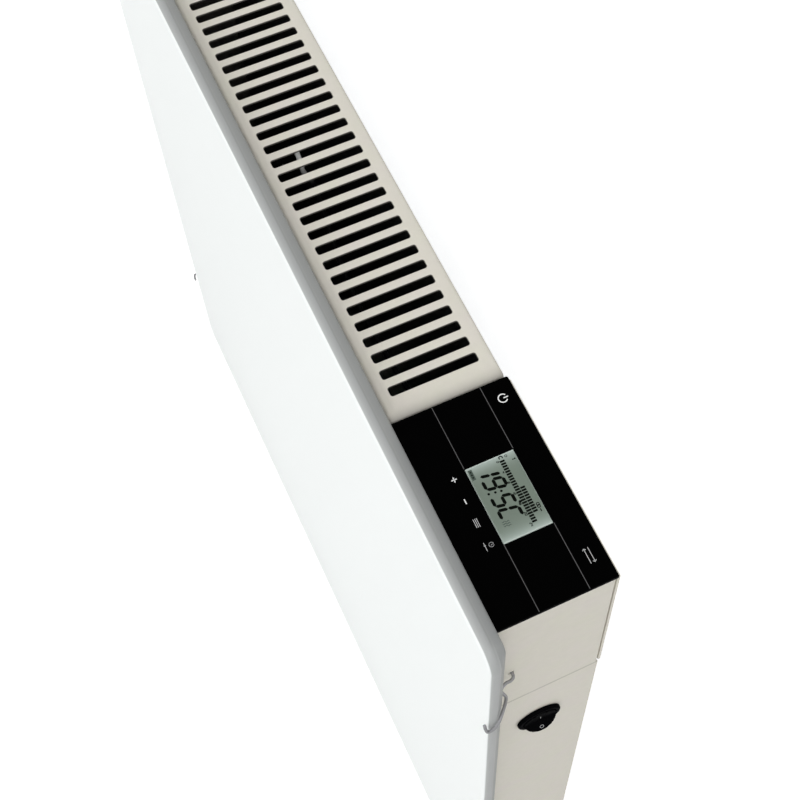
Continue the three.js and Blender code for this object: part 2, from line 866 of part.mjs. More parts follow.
// From its eye in the side, round behind the panel's rim, and over the front edge.
function panelClip(side, z, up) {
  const wire = clipWireRadius + seatGap;
  const edgeX = frontWidth / 2;
  const rimX = edgeX - frontInset;
  const path = [
    [sideX - 4, clipEyeY, z],
    [sideX + 2, clipEyeY, z + up * 0.3],
    [sideX + 3.2, clipEyeY - 1.8, z + up * 0.7],
    [sideX + 4, clipEyeY - 5, z + up * 2.5],
    [rimX - 4, rimY + wire + 0.45, z + up * 2],
    [rimX - 1.2, rimY + wire + 1.45, z + up * 0.5],
    [rimX + 0.6, rimY + wire + 0.45, z + up * 0.8],
    [edgeX - 2.8, rimY - 1.5, z + up * 2.6],
    [edgeX + 0.6, rimY - 5, z + up * 2.3],
    [edgeX + wire + 0.15, faceY + 2.4, z - up * 3.2],
    [edgeX + 0.5, faceY - 0.3, z - up * 6.9],
    [edgeX - 0.3, faceY - wire - 0.1, z - up * 3.7],
    [edgeX - clipGrip, faceY - wire - 0.05, z - up * 1.7],
  ];
  return tubeAlong(path.map(([x, y, height]) => [side * x, y, height]), clipWireRadius, 24, 6);
}

// ---------------------------------------------------------------- heating parts

const elementX0 = -sideX + elementFromLeft;
const elementX1 = elementX0 + elementLength;
const elementZ = bottomZ + elementAboveBottom;

// A star of tapered fins round a core: two long fins up, two down and one to each side.
function heatingElement() {
  const fins = [
    [90 - 16, elementFinReach], [90 + 16, elementFinReach], [180, elementSideReach],
    [270 - 16, elementFinReach], [270 + 16, elementFinReach], [360, elementSideReach],
  ];
  const outline = [];
  for (const [degrees, reach] of fins) {
    const along = THREE.MathUtils.degToRad(degrees);
    const point = (distance, half) => [
      middleY + distance * Math.cos(along) - half * Math.sin(along),
      elementZ + distance * Math.sin(along) + half * Math.cos(along),
    ];
    outline.push(point(elementCore, -elementFin / 2), point(reach, -elementFinTip / 2));
    outline.push(point(reach, elementFinTip / 2), point(elementCore, elementFin / 2));
  }
  const star = alongX(outline, elementX0, elementX1);
  const stub = bar(
    [elementX0 - elementStubLength, middleY, elementZ], "x",
    elementLength + 2 * elementStubLength, elementStubRadius, 16,
  );
  return star.add(stub);
}

const bushCentre = (side) => (side > 0
  ? elementX1 + elementStubLength * 0.5
  : elementX0 - elementStubLength * 0.5);

function elementBush(side) {
  const x = bushCentre(side);
  const half = bushLength / 2;
  const neck = bushRadius - bushGroove;
  const slit = elementBracketSheet / 2 + seatGap;
  const bore = elementStubRadius + seatGap;
  const profile = [
    [bore, -half], [bushRadius, -half], [bushRadius, -slit], [neck, -slit],
    [neck, slit], [bushRadius, slit], [bushRadius, half], [bore, half], [bore, -half],
  ];
  return turned(profile, [x, middleY, elementZ], "x", 16);
}

// A pressed bracket: a foot on the back panel and a web with an open slot for the bush.
function elementBracket(side) {
  const x = bushCentre(side);
  const half = elementBracketSheet / 2;
  const footY = backSheetInner - seatGap;
  const z0 = elementZ - elementBracketWidth / 2;
  const z1 = elementZ + elementBracketWidth / 2;
  const nose = middleY - bushRadius - 4;
  const web = block(x - half, x + half, nose, footY, z0, z1);
  const foot = side > 0
    ? block(x - half, x + elementBracketFoot, footY - elementBracketSheet, footY, z0, z1)
    : block(x - elementBracketFoot, x + half, footY - elementBracketSheet, footY, z0, z1);
  const neck = bushRadius - bushGroove + seatGap;
  const seat = bar([x - 2, middleY, elementZ], "x", 4, neck, 20);
  const mouth = block(x - 2, x + 2, nose - 1, middleY, elementZ - neck, elementZ + neck);
  return cut(join([web, foot]), [seat, mouth]);
}

// A bimetal disc cut-out on its flange, screwed to the inside of the heat shield.
const cutoutX = elementX1 - cutoutFromElementEnd;
const cutoutZ = elementZ + cutoutAboveElement;
const cutoutBase = shieldInner + seatGap;

function thermalCutout() {
  const flange = block(
    cutoutX - cutoutFlangeLength / 2, cutoutX + cutoutFlangeLength / 2,
    cutoutBase, cutoutBase + cutoutFlangeSheet,
    cutoutZ - cutoutFlangeWidth / 2, cutoutZ + cutoutFlangeWidth / 2,
  );
  const drum = bar([cutoutX, cutoutBase, cutoutZ], "y", cutoutHeight, cutoutRadius, 20);
  const cap = bar(
    [cutoutX, cutoutBase + cutoutHeight - 0.5, cutoutZ], "y", cutoutCapHeight, cutoutCapRadius, 20,
  );
  const tags = [-1, 1].map((side) => {
    const x = cutoutX + side * (cutoutCapRadius - cutoutTagInset);
    const half = cutoutTagSheet / 2;
    return block(
      x - half, x + half, cutoutBase + cutoutHeight, cutoutBase + cutoutHeight + cutoutTagReach,
      cutoutZ - cutoutTagWidth / 2, cutoutZ + cutoutTagWidth / 2,
    );
  });
  return join([flange, drum, cap, ...tags]);
}

function roomSensor() {
  const base = bottomZ + casingSheet + seatGap;
  const profile = [
    [0, bottomZ - 1.5],
    [sensorBeadRadius, bottomZ - 0.9],
    [sensorBarrelRadius, bottomZ],
    [sensorBarrelRadius, base],
    [sensorFlangeRadius, base],
    [sensorFlangeRadius, base + sensorFlange],
    [sensorBarrelRadius, base + sensorFlange],
    [sensorBarrelRadius, base + sensorBarrelLength],
    [0, base + sensorBarrelLength],
  ];
  return turned(profile, [sensorX, middleY, 0], "z", 20);
}

// ---------------------------------------------------------------- leads

// The white lead that shows through the outlet slots: cut-out, a loop under the grille, the module.
function elementLead() {
  const tagSide = cutoutCapRadius - cutoutTagInset + cutoutTagSheet / 2;
  return tubeAlong([
    [cutoutX + tagSide + leadRadius + seatGap, cutoutBase + cutoutHeight + 6, cutoutZ],
    [cutoutX + 8, middleY - 8, cutoutZ + 30],
    [moduleLeft - 120, middleY - 14, lidBottom - 90],
    [moduleLeft - 166, middleY - 17, lidBottom - 26],
    [moduleLeft - 162, middleY - 13, lidBottom],
    [moduleLeft - 156, middleY - 6.6, lidBottom + 4.2],
    [moduleLeft - 151, middleY - 6.1, lidBottom - 1],
    [moduleLeft - 147, middleY - 3.4, lidBottom - 8],
    [moduleLeft - 148, middleY - 1, lidBottom - 24],
    [moduleLeft - 120, middleY, lidBottom - 62],
    [moduleLeft - 60, middleY + 2, lidBottom - 66],
    [moduleLeft - 16, leadHoleY - 1, leadHoleZ + 1],
    [moduleLeft + moduleWall + 5, leadHoleY - 1, leadHoleZ + 1],
  ], leadRadius, 52, 6);
}

// Return lead from the element's right-hand stub along the back panel into the module.
function returnLead() {
  const x = elementX1 + elementStubLength + seatGap;
  const y = backSheetInner - leadToSheet - leadRadius;
  return tubeAlong([
    [x, middleY, elementZ],
    [x + 12, middleY + 2, elementZ + 2],
    [x + 22, middleY + 14, elementZ + 22],
    [x + 24, y, elementZ + 60],
    [x + 24, y, elementZ + 150],
    [moduleLeft - 6, y - 1, moduleBottom - 30],
    [moduleLeft - 10, y - 2, leadHoleZ - 22],
    [moduleLeft - 7, leadHoleY + 2.6, leadHoleZ - 3.4],
    [moduleLeft + moduleWall + 4, leadHoleY + 2.2, leadHoleZ - 1.8],
  ], leadRadius, 32, 6);
}

// Two leads from the switch's blades up through the module's floor.
function switchLead(index) {
  const z = bladeLevels()[index];
  const tip = sideX + seatGap - switchBodyDepth - bladeLength;
  const apart = index === 0 ? -1.8 : 1.8;
  const climbX = tip - 7 - index * 5;
  return tubeAlong([
    [tip - seatGap, switchY + apart, z],
    [tip - 3, switchY + apart, z],
    [climbX, switchY + apart, z + 6],
    [floorHoleX + apart - 3, middleY + apart, moduleBottom - 22],
    [floorHoleX + apart, middleY, moduleBottom - 8],
    [floorHoleX + apart, middleY, moduleBottom + 8],
  ], leadRadius, 15, 6);
}

// From the room sensor up beside the right panel into the module.
function sensorLead() {
  const start = bottomZ + casingSheet + 2 * seatGap + sensorBarrelLength;
  const x = sensorX;
  return tubeAlong([
    [x, middleY, start],
    [x, middleY, start + 18],
    [x - 6, middleY + 10, start + 60],
    [x - 8, backSheetInner - leadToSheet - sensorLeadRadius, start + 120],
    [x - 8, backSheetInner - leadToSheet - sensorLeadRadius, start + 220],
    [x - 10, middleY + 12, moduleBottom - 50],
    [floorHoleX, middleY + 3.2, moduleBottom - 10],
    [floorHoleX, middleY + 3.2, moduleBottom + 6],
  ], sensorLeadRadius, 24, 6);
}

// ---------------------------------------------------------------- mains entry

function cableGland() {
  const outer = backSheetOuter + seatGap;
  const profile = [
    [glandBore, backSheetInner - glandNut - 3],
    [glandNeck, backSheetInner - glandNut - 3],
    [glandNeck, outer],
    [glandFlangeRadius, outer],
    [glandFlangeRadius, outer + glandFlange - 1],
    [glandFlangeRadius - 1.5, outer + glandFlange],
    [glandBore, outer + glandFlange],
    [glandBore, backSheetInner - glandNut - 3],
  ];
  return turned(profile, [glandX, 0, glandZ], "y", 24);
}

function glandNutPiece() {
  const y1 = backSheetInner - seatGap;
  const hex = new THREE.CylinderGeometry(glandNutRadius, glandNutRadius, glandNut, 6);
  hex.translate(glandX, y1 - glandNut / 2, glandZ);
  const hole = bar([glandX, y1 - glandNut - 1, glandZ], "y", glandNut + 2, glandNeck + seatGap, 24);
  return cut(solidOf(hex), [hole]);
}

// ---------------------------------------------------------------- wall rails and hangers

// A pressed rail: flat against the wall, a shelf outwards, and a lip up for the hangers.
function wallRail(z) {
  const half = railFace / 2;
  const s = railSheet;
  const outline = [
    [0, z - half], [0, z + half], [-railReach + s, z + half], [-railReach + s, z + half + railLip],
    [-railReach, z + half + railLip], [-railReach, z + half - s], [-s, z + half - s], [-s, z - half],
  ].reverse();
  const rail = alongX(outline, -railLength / 2, railLength / 2);
  const holes = [-1, 1].map((side) => {
    const x = side * (railLength / 2 - railHoleFromEnd);
    const slot = roundedRectangle(
      x - railHoleLength / 2, x + railHoleLength / 2,
      z - railHoleWidth / 2, z + railHoleWidth / 2, railHoleWidth / 2 - 0.01,
    );
    return alongY(slot, -railSheet - 1, 1, 3);
  });
  return cut(rail, holes);
}

const railZ = [0, -railSpacing];

// A hanger is a pressed hook: foot on the back panel, shelf over the rail's lip, tongue behind it.
function hanger(x, z) {
  const lipTop = z + railFace / 2 + railLip;
  const foot0 = backSheetOuter + seatGap;
  const s = hangerSheet;
  const tongueY = -railReach + railSheet + tonguePlay;
  const shelf = lipTop + seatGap;
  const outline = [
    [foot0, shelf - hangerFoot], [foot0 + s, shelf - hangerFoot], [foot0 + s, shelf],
    [tongueY, shelf], [tongueY, shelf - hangerTongue], [tongueY + s, shelf - hangerTongue],
    [tongueY + s, shelf + s], [foot0, shelf + s],
  ];
  return alongX(outline, x - hangerWidth / 2, x + hangerWidth / 2);
}

// ---------------------------------------------------------------- screws

function screw(x, z, headY) {
  const profile = [
    [0, headY - screwLength],
    [screwShank * 0.5, headY - screwLength],
    [screwShank, headY - screwLength + 1.2],
    [screwShank, headY],
    [screwHead, headY],
    [screwHead, headY + screwHeadHeight * 0.55],
    [screwHead * 0.7, headY + screwHeadHeight],
    [0, headY + screwHeadHeight],
  ];
  return turned(profile, [x, 0, z], "y", 10);
}

// ---------------------------------------------------------------- assembly

place("front_panel", frontPanel(), whiteEnamel);
stiffenerLevels.forEach((z, i) => {
  place(`panel_stiffener_${i === 0 ? "upper" : "lower"}`, panelStiffener(z), zincSteel);
});
place("top_grille", topGrille(), creamEnamel);
place("left_side_panel", leftSidePanel(), creamEnamel);
place("right_side_panel", rightSidePanel(), creamEnamel);
place("back_panel", backPanel(), zincSteel);
place("heat_shield", shieldPanel(), zincSteel);
place("bottom_grille", bottomGrille(), creamEnamel);

place("control_housing", controlHousing(), creamEnamel);
place("control_glass", glass(), blackGlass);
place("display", displayModule(), displayGlass);
place("touch_board", touchBoard(), greenBoard);
place("module_floor", moduleFloor(), greyPlastic);
place("module_back_cover", moduleBackCover(), creamEnamel);
place("power_board", powerBoard(), greenBoard);
place("relay", relay(), bluePlastic);
place("transformer", transformer(), zincSteel);
place("terminal_block", terminalBlock(), greyPlastic);
place("radio_board", radioBoard(), greenBoard);

place("switch_body", switchBody(), blackPlastic);
place("switch_rocker", switchRocker(), blackPlastic);
bladeLevels().forEach((z, i) => {
  place(`switch_blade_${i + 1}`, bladeBlock(z, 0), brass);
  place(`switch_lead_${i + 1}`, switchLead(i), whiteSilicone);
});

for (const [side, sideName] of [[-1, "left"], [1, "right"]]) {
  clipLevels.forEach((z, i) => {
    const level = i === 0 ? "upper" : "lower";
    place(`panel_clip_${level}_${sideName}`, panelClip(side, z, i === 0 ? 1 : -1), springWire);
  });
  place(`element_bush_${sideName}`, elementBush(side), ceramic);
  place(`element_bracket_${sideName}`, elementBracket(side), zincSteel);
}

place("heating_element", heatingElement(), aluminium);
place("thermal_cutout", thermalCutout(), brass);
place("room_sensor", roomSensor(), greyPlastic);
place("element_lead", elementLead(), whiteSilicone);
place("return_lead", returnLead(), whiteSilicone);
place("sensor_lead", sensorLead(), greyPlastic);
place("cable_gland", cableGland(), blackPlastic);
place("gland_nut", glandNutPiece(), blackPlastic);

railZ.forEach((z, i) => {
  const level = i === 0 ? "upper" : "lower";
  place(`wall_rail_${level}`, wallRail(z), zincSteel);
  for (const [side, sideName] of [[-1, "left"], [1, "right"]]) {
    const x = side * (railLength / 2 - hangerFromRailEnd);
    place(`hanger_${level}_${sideName}`, hanger(x, z), zincSteel);
  }
});

caseScrewSpots().forEach(([x, z], i) => {
  place(`case_screw_${i + 1}`, screw(x, z, backY + seatGap), zincSteel);
});

export default group;
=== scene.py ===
# %% [markdown]
# # A wall panel convector heater, dressed for a picture
#
# The heater is already modelled as solids: a white pressed front, a warm grey casing with a slotted
# outlet lid, a control module with a black touch glass, a round rocker switch, and what hides inside.
# This script keeps those solids as a fixed frame and gives them what a picture needs: smooth rolled
# edges, a real row of slots, printed signs, a lit display, and finishes with grain and tone.
#
# ## Loading the frame
#
# Every solid comes in at its real place, in metres, with +X to the right, +Y into the wall and +Z up. A
# solid's box is its lowest and highest corner. The casing's planes are read from such boxes, and new
# pieces are worked out from them, so they follow the model if it changes. They could be typed in as
# numbers instead, but a number doesn't move when the model does.

# %% Load the frame
import math

import bmesh
import bpy
import numpy as np
from mathutils import Matrix, Vector


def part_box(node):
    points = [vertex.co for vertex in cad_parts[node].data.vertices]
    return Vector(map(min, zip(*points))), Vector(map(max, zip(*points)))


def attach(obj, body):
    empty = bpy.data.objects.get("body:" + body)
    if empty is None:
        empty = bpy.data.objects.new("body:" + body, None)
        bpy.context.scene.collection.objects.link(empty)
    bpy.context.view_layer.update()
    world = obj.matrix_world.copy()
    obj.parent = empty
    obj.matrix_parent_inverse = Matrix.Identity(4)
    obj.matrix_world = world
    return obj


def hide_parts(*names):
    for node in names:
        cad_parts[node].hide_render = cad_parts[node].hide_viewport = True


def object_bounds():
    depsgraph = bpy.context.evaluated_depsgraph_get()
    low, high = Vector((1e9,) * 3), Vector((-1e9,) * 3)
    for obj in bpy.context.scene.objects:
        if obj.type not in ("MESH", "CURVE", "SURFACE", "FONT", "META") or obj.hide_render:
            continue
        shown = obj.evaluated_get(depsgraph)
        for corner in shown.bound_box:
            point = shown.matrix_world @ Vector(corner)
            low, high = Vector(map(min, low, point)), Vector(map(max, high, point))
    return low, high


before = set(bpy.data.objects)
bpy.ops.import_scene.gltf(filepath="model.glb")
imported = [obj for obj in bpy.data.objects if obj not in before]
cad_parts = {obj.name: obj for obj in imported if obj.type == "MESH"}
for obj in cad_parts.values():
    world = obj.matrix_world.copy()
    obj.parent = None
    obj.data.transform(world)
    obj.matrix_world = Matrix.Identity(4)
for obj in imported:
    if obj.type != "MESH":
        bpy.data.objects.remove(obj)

MM = 0.001
cad_low, cad_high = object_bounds()
print("solids:", len(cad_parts), "box in mm:", [round(v / MM, 1) for v in (cad_high - cad_low)])


# %% Read the casing's planes
def corners(solid):
    """Lowest and highest corner of a solid, as two arrays of three metres."""
    low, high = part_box(solid)
    return np.array(low), np.array(high)


front_low, front_high = corners("front_panel")
lid_low, lid_high = corners("top_grille")
side_low, side_high = corners("right_side_panel")
glass_low, glass_high = corners("control_glass")
housing_low, housing_high = corners("control_housing")
SIDE_X = side_high[0]
FRONT_Y = lid_low[1]
BACK_Y = lid_high[1]
TOP_Z = lid_high[2]
print("casing: side x", round(SIDE_X / MM, 2), "front y", round(FRONT_Y / MM, 2), "top z", TOP_Z / MM)

# %% [markdown]
# ## The camera
#
# The view is a close look down at the heater's right-hand upper end. Three families of parallel edges in
# such a view meet in three vanishing points, and these give the camera's turn and its lens without any
# guess. The rows below are the directions that run to the right, down and away in the picture. A camera
# can also be nudged by hand until the edges meet, but its lens is hard to find that way.

# %% Set the camera
PICTURE_RIGHT = Vector((0.430078, 0.902790, 0.001594))
PICTURE_DOWN = Vector((0.795385, -0.378075, -0.473733))
PICTURE_AWAY = Vector((-0.427078, 0.205010, -0.880667))
CAMERA_PLACE = Vector((412.18, -170.70, 667.43)) * MM


def show(name, data):
    """A new object in the scene."""
    item = bpy.data.objects.new(name, data)
    bpy.context.scene.collection.objects.link(item)
    return item


lens = bpy.data.cameras.new("view")
lens.lens = 68.477
lens.sensor_width = 36.0
lens.shift_x = -0.0787
lens.shift_y = 0.0008
camera = show("camera", lens)
turn = Matrix((PICTURE_RIGHT, -PICTURE_DOWN, -PICTURE_AWAY)).transposed()
camera.matrix_world = Matrix.Translation(CAMERA_PLACE) @ turn.to_4x4()
bpy.context.scene.camera = camera
print("camera at", [round(v, 3) for v in CAMERA_PLACE], "lens", lens.lens, "mm")

# %% [markdown]
# ## Helpers for materials
#
# Every material below is a small network of nodes. An input of a node takes either a plain value or the
# socket of another node, so one helper sets both kinds and the rest are short forms of it. The same
# could be wired by hand in the shader editor, but a script can be read, and run again.

# %% Define the node helpers
def feed(tree, target, inputs):
    """Set a node's inputs, by name or number: a socket is linked, anything else is its plain value."""
    for label, value in inputs.items():
        if isinstance(value, bpy.types.NodeSocket):
            tree.links.new(value, target.inputs[label])
        else:
            target.inputs[label].default_value = value


def node(tree, kind, inputs=None, **settings):
    """A shader node of a kind, with its settings made first and its inputs next."""
    made = tree.nodes.new("ShaderNode" + kind)
    for label, value in settings.items():
        setattr(made, label, value)
    feed(tree, made, inputs or {})
    return made


def calc(tree, operation, first, second=0.0):
    """One sum, product or comparison of two sockets or numbers."""
    return node(tree, "Math", {0: first, 1: second}, operation=operation).outputs[0]


def scaled(tree, colour, gain):
    """A colour times a number."""
    return node(tree, "VectorMath", {0: colour, "Scale": gain}, operation="SCALE").outputs[0]


def mixed(tree, factor, first, second, **settings):
    """A colour mix whose ends are colours or sockets."""
    ends = [(*value, 1) if isinstance(value, tuple) else value for value in (first, second)]
    mix = node(tree, "Mix", {"Factor": factor, "A": ends[0], "B": ends[1]}, data_type="RGBA", **settings)
    return mix.outputs["Result"]


def object_vector(tree, stretch=(1, 1, 1)):
    """Object coordinates, scaled along each axis."""
    place = node(tree, "TexCoord").outputs["Object"]
    return node(tree, "Mapping", {"Vector": place, "Scale": stretch}).outputs["Vector"]


def object_part(tree, axis):
    """One of the object coordinates, in metres."""
    place = node(tree, "TexCoord").outputs["Object"]
    return node(tree, "SeparateXYZ", {"Vector": place}).outputs[axis]


def new_material(name):
    """A node material with a Principled shader joined to its output."""
    material = bpy.data.materials.new(name)
    material.use_nodes = True
    tree = material.node_tree
    tree.nodes.clear()
    shader = node(tree, "BsdfPrincipled")
    node(tree, "OutputMaterial", {"Surface": shader.outputs["BSDF"]})
    return material, tree, shader


print("node helpers ready")

# %% [markdown]
# ## The floor, the wall, the background and the lamps
#
# The picture is plain: white all round and soft light. The floor lies a little below the heater and the
# wall stands behind its rails. Both are pale paper that also glows to the camera, which lifts it to
# white and leaves only the soft shadow close to the heater. The wall is clear from behind and takes no
# part in the lighting. The world is white to the camera, to mirrors and to glass, and gives a gentler
# light to everything else. One broad lamp stands in front of the heater, since its front is the
# brightest face, and a second one hangs over the right-hand end. A curved sheet behind the object is a
# common choice too, but this heater hangs on a wall, so two flat sheets show where it touches.

# %% Build the stage
FLOOR_DROP = 0.03
WALL_GAP = 0.0005
STAGE_HALF = 6.0
WORLD_LIGHT = 0.52
FLOOR_GLOW = 0.75
WALL_GLOW = 0.72
PAPER_DARKEST, PAPER_LIGHTEST = 0.86, 0.90


def paper(name, glow, one_sided=False):
    """Pale paper with a glow that only the camera sees; one-sided, it is clear to all other rays."""
    material, tree, shader = new_material(name)
    camera_ray = node(tree, "LightPath").outputs["Is Camera Ray"]
    noise = node(tree, "TexNoise", {"Scale": 3.0})
    tone = node(tree, "MapRange", {"To Min": PAPER_DARKEST, "To Max": PAPER_LIGHTEST,
                                   "Value": noise.outputs["Fac"]})
    feed(tree, shader, {"Base Color": tone.outputs["Result"], "Roughness": 0.9, "Specular IOR Level": 0.1,
                        "Emission Color": (1, 1, 1, 1),
                        "Emission Strength": calc(tree, "MULTIPLY", camera_ray, glow)})
    if one_sided:
        turned_here = calc(tree, "SUBTRACT", 1.0, node(tree, "NewGeometry").outputs["Backfacing"])
        mix = node(tree, "MixShader", {"Fac": calc(tree, "MULTIPLY", camera_ray, turned_here),
                                       1: node(tree, "BsdfTransparent").outputs["BSDF"],
                                       2: shader.outputs["BSDF"]})
        feed(tree, tree.nodes["Material Output"], {"Surface": mix.outputs["Shader"]})
    return material


def make_stage():
    """The floor, facing up, and the wall, facing the room."""
    half, low, back = STAGE_HALF, cad_low[2] - FLOOR_DROP, WALL_GAP
    floor = [(-half, -half, low), (half, -half, low), (half, half, low), (-half, half, low)]
    wall = [(-half, back, low), (half, back, low), (half, back, half), (-half, back, half)]
    for name, points, glow in (("floor", floor, FLOOR_GLOW), ("wall", wall, WALL_GLOW)):
        mesh = bpy.data.meshes.new(name)
        mesh.from_pydata(points, [], [(0, 1, 2, 3)])
        mesh.materials.append(paper(name + "_paper", glow, one_sided=name == "wall"))
        show(name, mesh)


def make_world():
    """A world of strength 1 for camera, glossy and transmission rays, and of WORLD_LIGHT for the rest."""
    world = bpy.data.worlds.new("white_room")
    world.use_nodes = True
    tree = world.node_tree
    rays = node(tree, "LightPath").outputs
    mirrors = calc(tree, "MAXIMUM", rays["Is Glossy Ray"], rays["Is Transmission Ray"])
    seen = calc(tree, "MAXIMUM", mirrors, rays["Is Camera Ray"])
    strength = node(tree, "MapRange", {"To Min": WORLD_LIGHT, "To Max": 1.0, "Value": seen})
    feed(tree, tree.nodes["Background"], {"Color": (1, 1, 1, 1), "Strength": strength.outputs["Result"]})
    bpy.context.scene.world = world


def make_lamp(name, place, target, size, power):
    """A square area lamp at one point, turned towards another."""
    light = bpy.data.lights.new(name, "AREA")
    light.size = size
    light.energy = power
    lamp = show(name, light)
    lamp.location = place
    lamp.rotation_euler = (Vector(target) - Vector(place)).to_track_quat("-Z", "Y").to_euler()


make_stage()
make_world()
make_lamp("front_lamp", (-0.5, -2.6, 1.0), (0.0, 0.0, 0.0), 2.2, 31.5)
make_lamp("end_lamp", (1.6, -0.3, 2.35), (0.1, 0.0, 0.0), 1.8, 30.0)
bpy.context.scene.view_settings.view_transform = "Standard"
print("stage: floor at z", round((cad_low[2] - FLOOR_DROP) / MM), "mm, two lamps, a white world")

# %% [markdown]
# ## Shared finish effects
#
# Paint, moulded plastic and metal all need the same two things: a tone that wanders over the surface and
# a fine relief that breaks up the gloss. Both live in node groups, which each finish then places with
# its own numbers. One unit of the object coordinates is one metre, so a scale of 1000 gives features of
# about a millimetre. Painted images could do the same, but each piece would have to be unwrapped for
# them. Noise on the object's own coordinates needs no unwrapping and has no seams.

# %% Make the grain and tone groups
def new_group(name, *sockets):
    """A shader node group with sockets (label, way, kind, default), its given values and its end."""
    group = bpy.data.node_groups.new(name, "ShaderNodeTree")
    for label, way, kind, default in sockets:
        socket = group.interface.new_socket(name=label, in_out=way, socket_type="NodeSocket" + kind)
        if default is not None:
            socket.default_value = default
    return group, group.nodes.new("NodeGroupInput").outputs, group.nodes.new("NodeGroupOutput")


def grain_group():
    """Tone = slow noise and fine noise, seven parts to three; Height = the fine noise."""
    group, given, end = new_group(
        "grain", ("Vector", "INPUT", "Vector", None), ("Patches", "INPUT", "Float", 30.0),
        ("Grain", "INPUT", "Float", 1400.0), ("Tone", "OUTPUT", "Float", None),
        ("Height", "OUTPUT", "Float", None))
    slow = node(group, "TexNoise", {"Vector": given["Vector"], "Scale": given["Patches"], "Detail": 4.0})
    fine = node(group, "TexNoise", {"Vector": given["Vector"], "Scale": given["Grain"], "Detail": 1.5})
    large = calc(group, "MULTIPLY", slow.outputs["Fac"], 0.7)
    small = calc(group, "MULTIPLY", fine.outputs["Fac"], 0.3)
    feed(group, end, {"Tone": calc(group, "ADD", large, small), "Height": fine.outputs["Fac"]})
    return group


def toned_group():
    """Colour x (1 + Amount x (Tone - 0.5)): one colour made lighter and darker by a tone."""
    group, given, end = new_group(
        "toned", ("Color", "INPUT", "Color", None), ("Tone", "INPUT", "Float", 0.5),
        ("Amount", "INPUT", "Float", 0.1), ("Color", "OUTPUT", "Color", None))
    share = calc(group, "MULTIPLY", calc(group, "SUBTRACT", given["Tone"], 0.5), given["Amount"])
    feed(group, end, {"Color": scaled(group, given["Color"], calc(group, "ADD", share, 1.0))})
    return group


GRAIN = grain_group()
TONED = toned_group()
print("node groups:", GRAIN.name, TONED.name)

# %% [markdown]
# ## The finishes
#
# One function builds a finish from numbers a maker would name: the colour, how rough it is, how much its
# tone wanders and over what distance, how fine its grain is and how deep. Stretching the pattern along
# one axis turns grain into the streaks of rolled or drawn metal. What is equal all over a surface is set
# on the shader's own socket. Most finishes need nothing more and are rows of a table. Each could be a
# network of its own, but then a change to all of them would have to be made many times.

# %% Make the plain finishes
def finish(name, colour, rough, metallic=0.0, wander=0.08, patches=30.0, grain=1400.0, depth=0.01,
           specular=0.5, stretch=(1, 1, 1), rough_wander=0.06):
    """Colour = base x tone; roughness = rough + rough_wander x (tone - 0.5); relief = grain x depth in mm.

    Returns the material, its tree, its shader and the group node that holds the base colour.
    """
    material, tree, shader = new_material(name)
    grained = node(tree, "Group", {"Vector": object_vector(tree, stretch), "Patches": patches,
                                   "Grain": grain}, node_tree=GRAIN)
    tone = grained.outputs["Tone"]
    toned = node(tree, "Group", {"Color": (*colour, 1), "Tone": tone, "Amount": wander}, node_tree=TONED)
    shift = calc(tree, "MULTIPLY", calc(tree, "SUBTRACT", tone, 0.5), rough_wander)
    bump = node(tree, "Bump", {"Distance": depth * MM, "Height": grained.outputs["Height"]})
    feed(tree, shader, {"Base Color": toned.outputs["Color"], "Metallic": metallic,
                        "Roughness": calc(tree, "ADD", shift, rough), "Specular IOR Level": specular,
                        "Normal": bump.outputs["Normal"]})
    return material, tree, shader, toned


DARK = (0.002, 0.002, 0.0024)
LEAD_DARK = (0.006, 0.006, 0.0065)
# Near black for inside the duct: painted shade.
DUCT_SHADE = (0.012, 0.012, 0.012)
# Each row: colour, roughness, metallic, wander, patches, grain and depth, and then, where they are not
# the usual ones, specular, stretch and rough_wander
PLAIN = {
    "black_plastic": (DARK, 0.42, 0.0, 0.3, 200, 2200, 0.008, 0.002),
    "rocker_black": (DARK, 0.26, 0.0, 0.3, 120, 900, 0.002, 0.002),
    "spring_wire": ((0.30, 0.30, 0.31), 0.55, 0.45, 0.25, 400, 3000, 0.003, 0.5, (1, 1, 0.2)),
    "aluminium": ((0.50, 0.51, 0.52), 0.42, 0.9, 0.15, 60, 2400, 0.004, 0.5, (0.03, 1, 1)),
    "ceramic": ((0.80, 0.75, 0.64), 0.75, 0.0, 0.12, 300, 4000, 0.02),
    "lead_black": (LEAD_DARK, 0.6, 0.0, 0.3, 150, 2500, 0.004, 0.05),
    "grey_plastic": ((0.15, 0.155, 0.16), 0.6, 0.0, 0.15, 150, 2500, 0.01),
    "blue_plastic": ((0.02, 0.06, 0.21), 0.5, 0.0, 0.12, 120, 2200, 0.006),
    "brass": ((0.50, 0.33, 0.10), 0.38, 0.9, 0.2, 200, 2400, 0.004),
    # The duct's near black finish is painted shade inside the casing.
    "duct_painted_shade": (DUCT_SHADE, 0.7, 0.0, 0.5, 60, 900, 0.02),
    "black_glass": ((0.0004, 0.0004, 0.0004), 0.05, 0.0, 0.4, 10, 40, 0.0002, 0.008, (1, 1, 1), 0.02),
    "print_white": ((0.86, 0.87, 0.86), 0.5, 0.0, 0.1, 900, 5000, 0.002, 0.1),
    "print_pale": ((0.56, 0.57, 0.57), 0.5, 0.0, 0.1, 900, 5000, 0.002, 0.1),
    "print_grey": ((0.10, 0.10, 0.10), 0.5, 0.0, 0.3, 500, 5000, 0.002, 0.1),
    "display_ink": ((0.002, 0.003, 0.002), 0.3, 0.0, 0.2, 300, 4000, 0.001, 0.02),
    "display_faint": ((0.070, 0.095, 0.078), 0.3, 0.0, 0.2, 300, 4000, 0.001, 0.1),
}
looks = {name: finish(name, *row)[0] for name, row in PLAIN.items()}
print("plain finishes:", len(looks))
